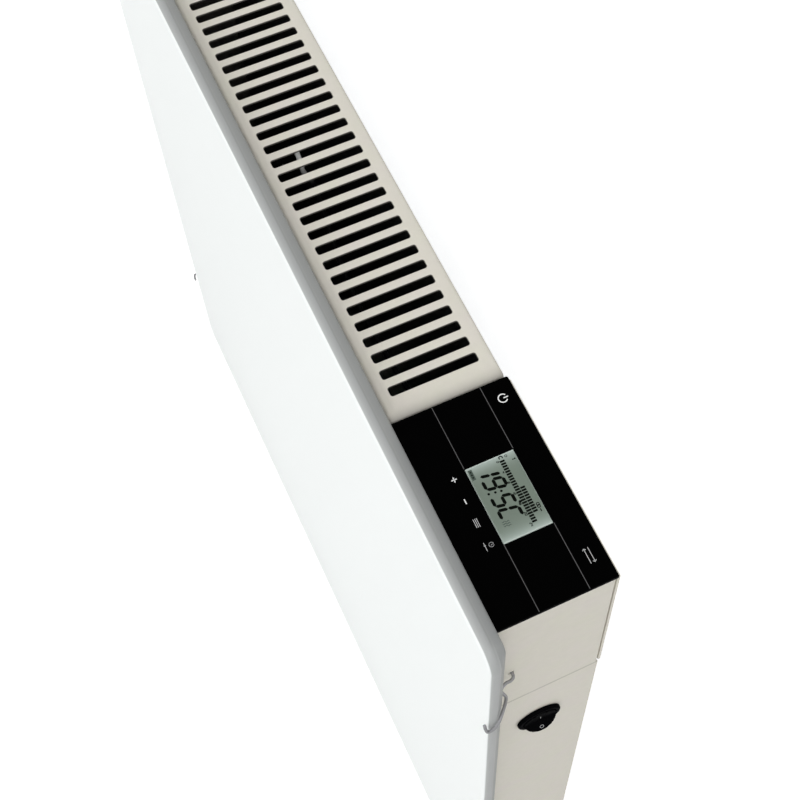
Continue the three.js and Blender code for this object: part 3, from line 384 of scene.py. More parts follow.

# %% [markdown]
# The casing is powder coated in a warm light grey whose hue wanders a little between yellow and pink,
# and the module's housing is moulded in the same colour with a finer grain. Three painted shades darken
# it: in the slots, at the lid's end beside the glass and towards its front, from a per-point attribute on
# the lid; in the fine seam under the housing, a band round one height, told from the object's own Z; and
# on the sheet of the sides and the bottom inside the casing, a box, told in the same way. Two materials
# on one piece could show the same, but only with a hard border between them.

# %% Make the warm grey
CREAM_YELLOW = (0.705, 0.700, 0.580)
CREAM_PINK = (0.725, 0.672, 0.632)
HUE_SCALE, HUE_DETAIL = 55.0, 3.0
# Share of the base colour left where shade is painted, on the lid and inside the casing.
PAINTED_SHADE_SHARE = 0.10
# A darker band round the seam under the housing, by this share: painted shade.
SEAM_SHADE_SHARE = 0.75
SEAM_HALF = 0.95 * MM
SHADE_MARGIN = 0.8 * MM
SEAM_Z = (housing_low[2] + side_high[2]) / 2


def inside_casing(tree):
    """Painted shade inside: 1 where |p - middle| < half less a margin on all axes of the casing's box, else
    0.
    """
    low = np.array([-SIDE_X, FRONT_Y, side_low[2]])
    high = np.array([SIDE_X, BACK_Y, TOP_Z])
    inside = 1.0
    for axis, middle, half in zip("XYZ", (low + high) / 2, (high - low) / 2):
        away = calc(tree, "ABSOLUTE", calc(tree, "SUBTRACT", object_part(tree, axis), float(middle)))
        near = calc(tree, "LESS_THAN", away, float(half - SHADE_MARGIN))
        inside = calc(tree, "MULTIPLY", inside, near)
    return inside


def darkened(tree, where, share):
    """A gain of 1 where the mask is 0 and of share where it is 1."""
    return calc(tree, "ADD", calc(tree, "MULTIPLY", where, share - 1), 1.0)


def cream_finish(name, rough, patches, grain, depth, shade_inside=False):
    """Base colour darkened by given shares where shade is painted: on the lid, inside if asked, in the seam.
    """
    material, tree, shader, toned = finish(
        name, CREAM_YELLOW, rough, wander=0.11, patches=patches, grain=grain, depth=depth)
    hue = node(tree, "TexNoise", {"Vector": object_vector(tree), "Scale": HUE_SCALE, "Detail": HUE_DETAIL})
    feed(tree, toned, {"Color": mixed(tree, hue.outputs["Fac"], CREAM_YELLOW, CREAM_PINK)})
    # Painted shade from the lid's attribute and, if asked, inside the casing's box.
    lid_shade = node(tree, "Attribute", attribute_name="lid_shade").outputs["Fac"]
    shade_mask = calc(tree, "MAXIMUM", lid_shade, inside_casing(tree) if shade_inside else 0.0)
    # Painted shade in the seam under the housing, on the right-hand side only.
    away = calc(tree, "ABSOLUTE", calc(tree, "SUBTRACT", object_part(tree, "Z"), SEAM_Z))
    right = calc(tree, "GREATER_THAN", object_part(tree, "X"), 0.0)
    seam = calc(tree, "MULTIPLY", calc(tree, "LESS_THAN", away, SEAM_HALF), right)
    gain = calc(tree, "MULTIPLY", darkened(tree, shade_mask, PAINTED_SHADE_SHARE), darkened(tree, seam, SEAM_SHADE_SHARE))
    feed(tree, shader, {"Base Color": scaled(tree, toned.outputs["Color"], gain)})
    return material


looks["cream_enamel"] = cream_finish("cream_enamel", 0.55, 240, 1500, 0.012)
looks["cream_sheet"] = cream_finish("cream_sheet", 0.55, 240, 1500, 0.012, shade_inside=True)
looks["cream_plastic"] = cream_finish("cream_plastic", 0.6, 260, 2600, 0.01)
print("seam under the housing at z", round(SEAM_Z / MM, 2), "mm")

# %% [markdown]
# The element's lead wears a white sleeve where it comes near the outlet and is black silicone elsewhere,
# told from its place once more; the sleeve's white also falls off downwards, which is painted shade
# below the slots. On the white enamel front, shade is painted where the tray's edge rolls back and on
# the flange that turns inwards, most of all at the two sides, so it greys there: the front piece
# carries an attribute for this painted shade. An attribute is stored with the points, so it follows
# the rolled edge, which no box could.

# %% Make the sleeve and the white enamel
# The sleeve's white falls off downwards between these heights: painted shade below the slots.
SLEEVE_SHADE_Z = (70.0 * MM, 79.5 * MM)
SLEEVE_FROM_X = -31.5 * MM
SLEEVE_WHITE = (0.88, 0.88, 0.86)
WHITE = (0.915, 0.945, 0.935)
# ROLL_GREY, RIM_GREY and LEAST_GREY are painted shade on the front's roll and flange.
ROLL_GREY = 0.44
RIM_GREY = 0.478
LEAST_GREY = 0.25


def sleeved_lead_finish():
    """Black; right of SLEEVE_FROM_X, white x the square of the height's share; the fall is painted shade."""
    material, tree, shader, toned = finish("sleeved_lead", SLEEVE_WHITE, 0.6, patches=150, grain=2500,
                                           depth=0.004, specular=0.05)
    height = node(tree, "MapRange", {"From Min": SLEEVE_SHADE_Z[0], "From Max": SLEEVE_SHADE_Z[1],
                                     "Value": object_part(tree, "Z")})
    right = calc(tree, "GREATER_THAN", object_part(tree, "X"), SLEEVE_FROM_X)
    sleeve_and_shade = calc(tree, "MULTIPLY", calc(tree, "POWER", height.outputs["Result"], 2.0), right)
    feed(tree, toned, {"Color": mixed(tree, sleeve_and_shade, LEAD_DARK, SLEEVE_WHITE)})
    return material


def white_enamel_finish():
    """White x 1 where no shade is painted, x ROLL_GREY at 1/3, x RIM_GREY at 2/3 and x LEAST_GREY at 1."""
    material, tree, shader, toned = finish(
        "white_enamel", WHITE, 0.42, wander=0.02, patches=20, grain=1100, depth=0.006, specular=0.4)
    edge_shade = node(tree, "Attribute", attribute_name="edge_shade")
    ramp = node(tree, "ValToRGB", {"Fac": edge_shade.outputs["Fac"]})
    stops = ramp.color_ramp.elements
    stops[0].position, stops[0].color = 0.0, (1, 1, 1, 1)
    stops[1].position, stops[1].color = 1.0, (LEAST_GREY,) * 3 + (1,)
    for place, grey in ((1 / 3, ROLL_GREY), (2 / 3, RIM_GREY)):
        stops.new(place).color = (grey,) * 3 + (1,)
    greyed = mixed(tree, 1.0, toned.outputs["Color"], ramp.outputs["Color"], blend_type="MULTIPLY")
    feed(tree, shader, {"Base Color": greyed})
    return material


looks["sleeved_lead"] = sleeved_lead_finish()
looks["white_enamel"] = white_enamel_finish()
print("white enamel greys to", ROLL_GREY, "on the roll and", RIM_GREY, "at the rim")

# %% [markdown]
# Zinc coating crystallises in patches a few millimetres wide, which a Voronoi texture gives. The shade
# inside the duct is painted: the back wall is black on its inside, so the slots look dark, and bare zinc
# outside; the side is told from the direction that the surface faces. The circuit boards have a green mask
# over fine tracks. Noise would only give soft clouds, while Voronoi cells have the straight borders of
# crystals.

# %% Make zinc, the duct's painted shade and the boards' mask
ZINC = (0.42, 0.44, 0.45)
ZINC_METALLIC = 0.85
CRYSTALS, CRYSTAL_TONE = 130.0, 0.22
TRACKS, TRACK_BEND, TRACK_TONE = 180.0, 6.0, 0.8


def zinc_finish(name, shade_inside=False):
    """Zinc patches from a Voronoi texture; if asked, black on what faces the room, -Y, as painted shade."""
    material, tree, shader, toned = finish(
        name, ZINC, 0.42, metallic=ZINC_METALLIC, wander=0.10, patches=25, grain=900, depth=0.004)
    cells = node(tree, "TexVoronoi", {"Vector": object_vector(tree), "Scale": CRYSTALS})
    grey = node(tree, "SeparateColor", {"Color": cells.outputs["Color"]})
    spangle = node(tree, "Group", {"Color": toned.outputs["Color"], "Tone": grey.outputs["Red"],
                                   "Amount": CRYSTAL_TONE}, node_tree=TONED)
    colour = spangle.outputs["Color"]
    if shade_inside:
        facing = node(tree, "SeparateXYZ", {"Vector": node(tree, "NewGeometry").outputs["Normal"]})
        outside = calc(tree, "GREATER_THAN", facing.outputs["Y"], 0.5)
        colour = mixed(tree, outside, DUCT_SHADE, colour)
        feed(tree, shader, {"Metallic": calc(tree, "MULTIPLY", outside, ZINC_METALLIC)})
    feed(tree, shader, {"Base Color": colour})
    return material


def circuit_board_finish():
    """Green mask over tracks: the bands of a wave texture lift the colour slightly."""
    material, tree, shader, toned = finish(
        "circuit_board", (0.02, 0.12, 0.05), 0.4, wander=0.1, patches=100, grain=2500, depth=0.004)
    bands = node(tree, "TexWave", {"Vector": object_vector(tree), "Scale": TRACKS, "Distortion": TRACK_BEND})
    tracks = node(tree, "Group", {"Color": toned.outputs["Color"], "Tone": bands.outputs["Fac"],
                                  "Amount": TRACK_TONE}, node_tree=TONED)
    feed(tree, shader, {"Base Color": tracks.outputs["Color"]})
    return material


looks["zinc_steel"] = zinc_finish("zinc_steel")
looks["zinc_duct_shade"] = zinc_finish("zinc_duct_shade", shade_inside=True)
looks["circuit_board"] = circuit_board_finish()
print("finishes so far:", len(looks))

# %% [markdown]
# A liquid crystal display is a grey-green layer behind thin glass. Light enters at its two ends, so the
# layer brightens towards them with the sixth power of the distance from its middle, and a thin line all
# round is brightest. The distances are shares: |x - middle| / half width and |y - middle| / half depth.
# A lamp behind a clear layer could do it too, but it would be noisy in the picture and lost in an
# export.

# %% Define the display's finish
LCD_MIDDLE = (0.175, 0.218, 0.178)
LCD_END = (0.455, 0.535, 0.492)
LCD_RIM = (0.560, 0.640, 0.590)
LCD_RIM_SHARES = (0.962, 0.985)
LCD_RIM_SHIFT_Y = 0.012
LCD_POWER = 6.0


def share_from_middle(tree, axis, low, high):
    """|coordinate - middle| / half the span."""
    away = calc(tree, "SUBTRACT", object_part(tree, axis), (low + high) / 2)
    return calc(tree, "DIVIDE", calc(tree, "ABSOLUTE", away), (high - low) / 2)


def display_finish(low, high):
    """From LCD_MIDDLE to LCD_END as share ** LCD_POWER, then LCD_RIM in the last hundredths."""
    material, tree, shader, toned = finish(
        "display_layer", LCD_MIDDLE, 0.16, wander=0.12, patches=160, grain=5200, depth=0.001, specular=0.2)
    share_x = share_from_middle(tree, "X", low[0], high[0])
    share_y = share_from_middle(tree, "Y", low[1], high[1])
    layer = mixed(tree, calc(tree, "POWER", share_x, LCD_POWER), LCD_MIDDLE, LCD_END)
    rim = calc(tree, "MAXIMUM", share_x, calc(tree, "SUBTRACT", share_y, LCD_RIM_SHIFT_Y))
    glow = node(tree, "MapRange", {"From Min": LCD_RIM_SHARES[0], "From Max": LCD_RIM_SHARES[1],
                                   "Value": rim}, interpolation_type="SMOOTHSTEP")
    feed(tree, toned, {"Color": mixed(tree, glow.outputs["Result"], layer, LCD_RIM)})
    return material


print("display finish: rim", LCD_RIM)

# %% [markdown]
# ## Surfaces from arrays
#
# Every new piece below is a stack of rings: each ring has the same number of points, and quads join each
# ring to the next. Whole rings are computed as arrays. The helpers here turn such a stack into a mesh,
# join doubled points, make the faces look outwards, and let the piece ride on its body. Such pieces can
# be modelled by hand with loop cuts and extrusions too, but as arrays they keep each measure as one
# named value.

# %% Define the surface helpers
def ring_quads(rings, points, closed=False):
    """Quads between neighbouring rings; with closed, the last ring is joined to the first."""
    rows = np.arange(rings if closed else rings - 1)[:, None]
    here = np.arange(points)[None, :]
    there = (here + 1) % points
    upper = (rows + 1) % rings
    quads = (rows * points + here, rows * points + there, upper * points + there, upper * points + here)
    return np.stack(quads, axis=-1).reshape(-1, 4)


def stack(rings, closed=False):
    """Rings of equal length, shape (rings, points, 3), as one list of vertices and their quads."""
    rings = np.asarray(rings)
    return rings.reshape(-1, 3), ring_quads(rings.shape[0], rings.shape[1], closed)


def capped(rings):
    """A stack of rings with a flat face over its first and its last ring."""
    vertices, quads = stack(rings)
    points, last = len(rings[0]), len(vertices) - len(rings[0])
    return vertices, [*quads.tolist(), list(range(points)), list(range(last, last + points))]


def levels(plan):
    """Rings in space from pairs of a flat outline and its height."""
    return np.array([np.column_stack([outline, np.full(len(outline), z)]) for outline, z in plan])


def rounded_rectangle(x0, x1, y0, y1, radius, steps=6):
    """Points round a rectangle, counter-clockwise from the corner at x1, y0, with one radius or four."""
    angles = np.radians(np.linspace(0, 90, steps + 1))
    signs = [(1, -1, x1, y0, -90), (1, 1, x1, y1, 0), (-1, 1, x0, y1, 90), (-1, -1, x0, y0, 180)]
    return np.concatenate([np.stack([x - sx * r + r * np.cos(angles + np.radians(start)),
                                     y - sy * r + r * np.sin(angles + np.radians(start))], axis=-1)
                           for (sx, sy, x, y, start), r in zip(signs, np.broadcast_to(radius, 4))])


def smooth_faces(mesh):
    """Mark every face as smooth."""
    mesh.polygons.foreach_set("use_smooth", np.ones(len(mesh.polygons), dtype=bool))


def dress(piece, body, solid=None):
    """Let a piece ride on its body and stand in for its solid."""
    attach(piece, body)
    if solid:
        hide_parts(solid)
    return piece


def make_piece(name, surface, look, solid=None, body="heater", crease=35.0, weld=2e-6, values=None):
    """A piece from (vertices, faces): welded, facing outwards, smooth up to the crease angle.

    values are (name, one number per vertex) for an attribute that the finish reads.
    """
    vertices, faces = surface
    mesh = bpy.data.meshes.new(name)
    mesh.from_pydata(vertices.tolist(), [], faces if isinstance(faces, list) else faces.tolist())
    if values is not None:
        layer = mesh.attributes.new(values[0], "FLOAT", "POINT")
        layer.data.foreach_set("value", np.asarray(values[1], dtype=np.float32))
    shell = bmesh.new()
    shell.from_mesh(mesh)
    bmesh.ops.remove_doubles(shell, verts=shell.verts, dist=weld)
    bmesh.ops.recalc_face_normals(shell, faces=shell.faces)
    shell.to_mesh(mesh)
    shell.free()
    smooth_faces(mesh)
    mesh.set_sharp_from_angle(angle=math.radians(crease))
    mesh.materials.append(looks[look])
    return dress(show(name, mesh), body, solid)


print("surface helpers ready")

# %% [markdown]
# ## The white front
#
# The front is one pressed sheet: a flat face, an edge rolled back through more than a right angle, and a
# flange that runs inwards and back to a rim close to the casing. Its section is the same all round, so
# the skin is a stack of rounded squares: the inset from the outer edge and the depth follow an arc, then
# a straight line, and the same again one sheet thickness further in. The corner's radius shrinks by the
# inset, as it does on a pressed corner. A box with a bevel would round the edge, but couldn't turn it
# back on itself.

# %% Shape the front
FRONT_CORNER = 11.0 * MM
FRONT_ROLL = 2.8 * MM
FRONT_INSET = 7.0 * MM
FRONT_SHEET = 1.2 * MM
FLAT_MARGIN = 14.0 * MM
CORNER_STEPS = 18
LEAST_CORNER = 1.0 * MM
# Painted shade on the front's roll begins and is full at these two angles, and grows at the sides.
EDGE_SHADE_ANGLES = (33.0, 47.0)
SIDE_EDGE_SHADE = 0.18


def front_section(offset):
    """(inset, depth, painted shade) along the section; the inner one, a sheet further in, has none."""
    depth = front_high[1] - front_low[1]
    angles = np.linspace(0, math.pi / 2 + math.atan2(FRONT_INSET, depth), 29)
    radius = FRONT_ROLL - offset
    edge = np.clip((np.degrees(angles) - EDGE_SHADE_ANGLES[0]) / (EDGE_SHADE_ANGLES[1] - EDGE_SHADE_ANGLES[0]), 0, 1)
    flat = np.array([[FLAT_MARGIN, offset, 0.0], [FRONT_ROLL + 1.5 * MM, offset, 0.0]])
    arc = np.stack([FRONT_ROLL - radius * np.sin(angles), FRONT_ROLL - radius * np.cos(angles),
                    edge ** 2 * (3 - 2 * edge) / 3], axis=-1)
    share = np.linspace(0.04, 1, 6)[:, None]
    run = arc[-1] + (np.array([FRONT_INSET + offset, depth, 1.0]) - arc[-1]) * share
    run[:, 2] = (1 + np.clip(share[:, 0] * 6, 0, 1)) / 3
    section = np.concatenate([flat, arc, run])
    if offset > 0:
        section[:, 2] = 0.0
    return section


def make_front():
    """Rings of the outer section, then of the inner one backwards, closed by two flat faces.

    Painted shade grows on the flange where |x| comes within a corner's radius of the sides.
    """
    rings, edge_shade = [], []
    for inset, depth, shade_share in [*front_section(0.0), *front_section(FRONT_SHEET)[::-1]]:
        outline = rounded_rectangle(
            front_low[0] + inset, front_high[0] - inset, front_low[2] + inset, front_high[2] - inset,
            max(FRONT_CORNER - inset, LEAST_CORNER), CORNER_STEPS)
        rings.append(np.insert(outline, 1, front_low[1] + depth, axis=1))
        sideways = np.clip(1 - (front_high[0] - inset - abs(outline[:, 0])) / FRONT_CORNER, 0, 1)
        edge_shade.append(shade_share + SIDE_EDGE_SHADE * min(max(3 * shade_share - 1, 0), 1) * sideways)
    return make_piece("front_skin", capped(rings), "white_enamel", "front_panel",
                      crease=50, values=("edge_shade", np.concatenate(edge_shade)))


front = make_front()
print("front:", len(front.data.polygons), "faces")

# %% [markdown]
# ## The outlet lid
#
# The lid is a hollow cap with a row of slots. Each slot is made as a cell one pitch wide: a ring on the
# slot's rim, a small rounding, the cut wall down through the sheet, and on both faces a ring on the
# cell's rectangle. A point of the rim at angle a is matched to the rectangle by its tangent below 45
# degrees and its cotangent above, so neighbouring cells share their edge points. All cells are one
# array: the first cell's rings shifted by the slot centres. Cutting the slots out with a Boolean
# modifier would be shorter, but it leaves long thin faces that shade badly and rims that are hard to
# round.

# %% Shape the slot cells
SLOT_PITCH = 8.954 * MM
SLOT_WIDTH = 4.6 * MM
SLOT_LENGTH = 41.9 * MM
SLOT_FROM_BACK = 7.2 * MM
SLOT_FROM_END = 14.33 * MM
SLOT_CORNER = 1.1 * MM
SLOT_RIM = 0.3 * MM
LID_WALL = 0.9 * MM
SEAT_GAP = 0.3 * MM
CELL_MARGIN = 2.0 * MM
ARC_STEPS = 6

slot_middle_y = BACK_Y - SLOT_FROM_BACK - SLOT_LENGTH / 2
first_slot = lid_high[0] + SEAT_GAP - SLOT_FROM_END
slot_count = int((first_slot - SLOT_FROM_END - lid_low[0]) / SLOT_PITCH) + 1
slot_centres = first_slot - SLOT_PITCH * np.arange(slot_count)
cell_x = SLOT_PITCH / 2
cell_y = SLOT_LENGTH / 2 + CELL_MARGIN
core_x = SLOT_WIDTH / 2 - SLOT_CORNER
core_y = SLOT_LENGTH / 2 - SLOT_CORNER
quarter_turn = np.radians(np.linspace(0, 90, ARC_STEPS + 1))


def quarter_outer():
    """Offsets on the cell's corner, matched to the rim's angles: tangent, then cotangent."""
    low = quarter_turn <= np.pi / 4 + 1e-9
    up = np.where(low, np.tan(np.where(low, quarter_turn, 0)), 1.0)
    across = np.where(low, 1.0, 1 / np.tan(np.where(low, 1, quarter_turn)))
    return core_x + (cell_x - core_x) * across, core_y + (cell_y - core_y) * up


def four_corners(x, y):
    """A corner's points repeated round the cell, counter-clockwise, from the one at +x, +y."""
    quarter = np.stack([x, y], axis=-1)
    back = quarter[::-1]
    return np.concatenate([quarter, back * (-1, 1), quarter * (-1, -1), back * (1, -1)])


def slot_cells():
    """Rings of all cells: shape (cells, rings, points, 3)."""
    outer = four_corners(*quarter_outer())

    def rim(offset):
        radius = SLOT_CORNER + offset
        return four_corners(core_x + radius * np.cos(quarter_turn), core_y + radius * np.sin(quarter_turn))

    edge = [(rim(SLOT_RIM * (1 - np.sin(a))), TOP_Z - SLOT_RIM * (1 - np.cos(a)))
            for a in np.radians(np.linspace(0, 90, 5))]
    plan = [(outer, TOP_Z), *edge, (rim(0.0), TOP_Z - LID_WALL), (outer, TOP_Z - LID_WALL)]
    cells = np.repeat(levels(plan)[None], slot_count, axis=0)
    cells[..., 0] += slot_centres[:, None, None]
    cells[..., 1] += slot_middle_y
    return cells


print("slots:", slot_count, "of", SLOT_WIDTH / MM, "x", SLOT_LENGTH / MM, "mm")

# %% [markdown]
# Round the block of cells the lid's own section goes on: flat top, rounded edges, wall, lip and inside.
# At share s of a rounding the outline is drawn in by s times its round, with s = 1 - cos a and the
# height falling as sin a. The block's corner point is repeated so that it can fan out into the lid's
# corner arc. One bevel would make all edges alike, while front, back and end of the real lid are rounded
# differently.

# %% Shape the lid round the cells
LID_FRONT_ROUND = 3.2 * MM
LID_BACK_ROUND = 2.0 * MM
LID_END_ROUND = 6.2 * MM
LID_EDGE_DROP = 3.2 * MM
LID_CORNER, LID_INNER_CORNER = 2.5 * MM, 0.6 * MM
FAN_POINTS = 7
# Painted shade on the lid: at its end beside the glass, at its front under the rim, and on the slot rims.
END_FADE, LID_END_SHADE = 8.5 * MM, 0.70
FRONT_FADE, LID_FRONT_SHADE = 6.5 * MM, 0.13
SLOT_RIM_SHADE = 0.6


def round_block(inner_x, inner_y, x0, x1, y0, y1, radius):
    """Points round a block, counter-clockwise from its right side, with FAN_POINTS on each corner."""
    low_right, high_right, high_left, low_left = rounded_rectangle(
        x0, x1, y0, y1, radius, FAN_POINTS - 1).reshape(4, FAN_POINTS, 2)
    right, left = [np.column_stack([np.full(len(inner_y), x), inner_y]) for x in (x1, x0)]
    near, far = [np.column_stack([inner_x, np.full(len(inner_x), y)]) for y in (y0, y1)]
    return np.concatenate([right, high_right, far, high_left, left[::-1], low_left, near[::-1], low_right])


def lid_rings():
    """From the block outwards over the edge, down the wall, round the lip and back up inside."""
    across, up = quarter_outer()
    middle = ARC_STEPS // 2
    cell_top = np.concatenate([across[middle:], -across[middle:][::-1]])
    inner_x = np.unique(np.round(slot_centres[:, None] + cell_top[None, :], 9))[::-1][1:-1]
    inner_y = np.concatenate([-up[:middle + 1][::-1], up[:middle + 1]])[1:-1] + slot_middle_y
    block = round_block(inner_x, inner_y, slot_centres[-1] - cell_x, slot_centres[0] + cell_x,
                        slot_middle_y - cell_y, slot_middle_y + cell_y, 0.0)

    def outline(share, offset):
        sides = (lid_low[0] + offset + LID_FRONT_ROUND * share, lid_high[0] - offset - LID_END_ROUND * share,
                 FRONT_Y + offset + LID_FRONT_ROUND * share, BACK_Y - offset - LID_BACK_ROUND * share)
        return round_block(inner_x, inner_y, *sides, max(LID_CORNER - offset, LID_INNER_CORNER))

    plan = [(block, TOP_Z)]
    for offset in (0.0, LID_WALL):
        over = [(outline(1 - math.cos(a), offset), TOP_Z - offset - LID_EDGE_DROP * (1 - math.sin(a)))
                for a in np.radians(np.linspace(90, 0, 10))]
        over.append((outline(0.0, offset), lid_low[2]))
        plan += over if offset == 0.0 else over[::-1]
    return levels([*plan, (block, TOP_Z - LID_WALL)])


def make_lid():
    """One closed shell. Its painted shade is 1 in the slots, grows as the square to the end's share within
    END_FADE of the end, and is the front's share within FRONT_FADE of the front."""
    cells = slot_cells()
    ring_count, points = cells.shape[1:3]
    cell_shade = np.repeat(np.concatenate([[0, 0, SLOT_RIM_SHADE], np.ones(ring_count - 3)]), points)
    starts = np.arange(slot_count) * ring_count * points
    cell_faces = (ring_quads(ring_count, points)[None] + starts[:, None, None]).reshape(-1, 4)
    around, around_quads = stack(lid_rings())
    vertices = np.concatenate([cells.reshape(-1, 3), around])
    faces = np.concatenate([cell_faces, around_quads + slot_count * ring_count * points])
    ending = np.clip(1 - (lid_high[0] - vertices[:, 0]) / END_FADE, 0, 1)
    fronting = np.clip((FRONT_FADE - vertices[:, 1] + FRONT_Y) / (2 * MM), 0, 1)
    lid_shade = np.concatenate([np.tile(cell_shade, slot_count), np.zeros(len(around))])
    lid_shade = np.maximum(lid_shade, np.maximum(LID_END_SHADE * ending ** 2, LID_FRONT_SHADE * fronting))
    return make_piece("outlet_lid", (vertices, faces), "cream_enamel", "top_grille",
                      crease=50, values=("lid_shade", lid_shade))


lid = make_lid()
print("lid:", len(lid.data.polygons), "faces")

# %% [markdown]
# ## The touch glass
#
# A black glass plate lies over the whole module, with a window for the display. Its skin is a ring stack
# that closes on itself: down the window's wall, out over the face, round a finely ground edge and back
# underneath. Only its corner beside the lid is visibly rounded. A box with a hole cut in it would look
# alike from afar, but the light on its edges would break at the cut.

# %% Shape the glass
GLASS_CORNER = 1.0 * MM
GLASS_SMALL_CORNER = 0.35 * MM
WINDOW_CORNER = 0.25 * MM
GLASS_EDGE = 0.3 * MM
WINDOW_EDGE = 0.1 * MM
FACE_MARGIN = 1.0 * MM
WINDOW_LEFT = 32.6 * MM
WINDOW_FROM_BACK = 13.3 * MM
WINDOW_LENGTH = 37.9 * MM
WINDOW_DEPTH = 23.2 * MM
window = np.array([glass_low[0] + WINDOW_LEFT, glass_low[0] + WINDOW_LEFT + WINDOW_LENGTH,
                   glass_high[1] - WINDOW_FROM_BACK - WINDOW_DEPTH, glass_high[1] - WINDOW_FROM_BACK])
INWARDS = np.array([1, -1, 1, -1])


def make_glass():
    """Window wall, face, ground edge, side and underside as one closed band."""
    top, bottom = glass_high[2], glass_low[2]
    sides = np.array([glass_low[0], glass_high[0], glass_low[1], glass_high[1]])
    small = GLASS_SMALL_CORNER

    def outer(inset):
        return rounded_rectangle(*(sides + INWARDS * inset), (small, small, GLASS_CORNER, small))

    def inner(grow):
        return rounded_rectangle(*(window - INWARDS * grow), WINDOW_CORNER)

    plan = [(inner(0), bottom), (inner(0), top - WINDOW_EDGE), (inner(WINDOW_EDGE), top),
            (inner(FACE_MARGIN), top), (outer(GLASS_EDGE + FACE_MARGIN), top)]
    plan += [(outer(GLASS_EDGE * (1 - math.cos(angle))), top - GLASS_EDGE * (1 - math.sin(angle)))
             for angle in np.radians(np.linspace(90, 0, 5))]
    return make_piece("touch_glass", stack(levels([*plan, (outer(0), bottom)]), closed=True),
                      "black_glass", "control_glass")


glass = make_glass()
print("glass window in mm:", [round(v / MM, 1) for v in window])

# %% [markdown]
# ## Marks: thin flat shapes
#
# Print on glass and the display's figures are thin flat shapes. Each is an outline in the XY plane, and
# all outlines of one colour become one mesh of very thin slabs. A stroke is an outline made from a
# polyline by going out along its left side and back along its right side. The places are in millimetres
# from the glass's left edge and from its back edge less its nominal depth. A picture laid on the glass
# would blur close up. A slab stays sharp at any distance.

# %% Define marks
PRINT_LIFT = 0.02 * MM
PRINT_THICK = 0.04 * MM
GLASS_NOMINAL_DEPTH = 55.0


def slab_surface(outlines, low, high):
    """Vertices and faces of flat slabs from outlines, between two heights in the third coordinate."""
    vertices, faces, start = [], [], 0
    for outline in outlines:
        n = len(outline)
        vertices += [*levels([(outline, low), (outline, high)])]
        here = np.arange(n)
        there = (here + 1) % n
        faces += [(start + here[::-1]).tolist(), (start + n + here).tolist()]
        faces += (np.stack([here, there, n + there, n + here], axis=-1) + start).tolist()
        start += 2 * n
    return np.concatenate(vertices), faces


def slabs(name, outlines, z, look):
    """Thin slabs from outlines in the glass's millimetres, their middle PRINT_LIFT above a face at z."""
    origin = np.array([glass_low[0] / MM, glass_high[1] / MM - GLASS_NOMINAL_DEPTH])
    low = z + PRINT_LIFT - PRINT_THICK / 2
    surface = slab_surface([(outline + origin) * MM for outline in outlines], low, low + PRINT_THICK)
    return make_piece(name, surface, look, weld=1e-9)


def stroke(points, width):
    """A polyline as an outline: each point moved half the width along the average normal."""
    points = np.asarray(points, dtype=float)
    steps = np.diff(points, axis=0)
    steps /= np.linalg.norm(steps, axis=1)[:, None]
    along = np.concatenate([steps[:1], steps[:-1] + steps[1:], steps[-1:]])
    along /= np.linalg.norm(along, axis=1)[:, None]
    normal = np.stack([-along[:, 1], along[:, 0]], axis=-1) * width / 2
    return np.concatenate([points + normal, (points - normal)[::-1]])


def arc(x, y, radius, start, end, count=12):
    """Points on an arc, angles in degrees counter-clockwise from +x."""
    angles = np.radians(np.linspace(start, end, count))
    return np.stack([x + radius * np.cos(angles), y + radius * np.sin(angles)], axis=-1)


def disc(x, y, radius):
    """A filled round as an outline."""
    return arc(x, y, radius, 0, 340, 18)


print("marks are slabs", PRINT_THICK / MM, "mm thick")

# %% [markdown]
# Grey lines divide the glass into three bands. Below the display sit the touch keys: plus, minus, a key
# with three short lines, and a clock with a bar under it. At the two upper corners there are plain
# signs: an open ring with a bar, and two arrows. They are general signs, with no letters. A text object
# could hold such signs only if a font had them, so they are drawn as strokes.

# %% Print the glass
LINE_WIDTH = 0.32
LINE_LEVELS = (18.67, 41.58)
LINE_SPANS = ((0.3, WINDOW_LEFT / MM),
              ((WINDOW_LEFT + WINDOW_LENGTH) / MM, (glass_high[0] - glass_low[0]) / MM - 0.3))
KEY_LEVEL = 12.75
BOLD, THIN, FINE = 0.5, 0.26, 0.13


def plain_signs():
    """Plus, minus, and the open ring with a bar."""
    strokes = [[(34.1, KEY_LEVEL), (36.55, KEY_LEVEL)],
               [(35.33, KEY_LEVEL - 1.22), (35.33, KEY_LEVEL + 1.22)],
               [(45.1, KEY_LEVEL), (47.5, KEY_LEVEL)],
               arc(9.2, 48.3, 2.0, 125, 415, 30), [(9.2, 50.8), (9.2, 48.6)]]
    return [stroke(points, BOLD) for points in strokes]


def pale_signs():
    """Three short lines, a clock over a bar, and two opposite arrows."""
    outlines = [stroke([(54.9, KEY_LEVEL + dy), (59.1, KEY_LEVEL + dy)], THIN) for dy in (-0.75, 0.0, 0.75)]
    outlines += [stroke(arc(68.2, 14.1, 1.05, 100, 430, 26), 0.14),
                 stroke([(68.2, 15.1), (68.2, 14.05), (68.65, 13.75)], FINE),
                 stroke([(66.2, 11.4), (70.2, 11.4)], THIN), disc(67.6, 11.4, 0.42)]
    middle, half, head = 89.6, 3.5, 0.75
    for way, y in ((1, 49.0), (-1, 47.1)):
        tip, tail, back = middle + way * half, middle - way * half, middle + way * (half - head)
        outlines += [stroke([(tail, y), (tip, y)], THIN),
                     stroke([(back, y + head), (tip, y), (back, y - head)], THIN)]
    return outlines


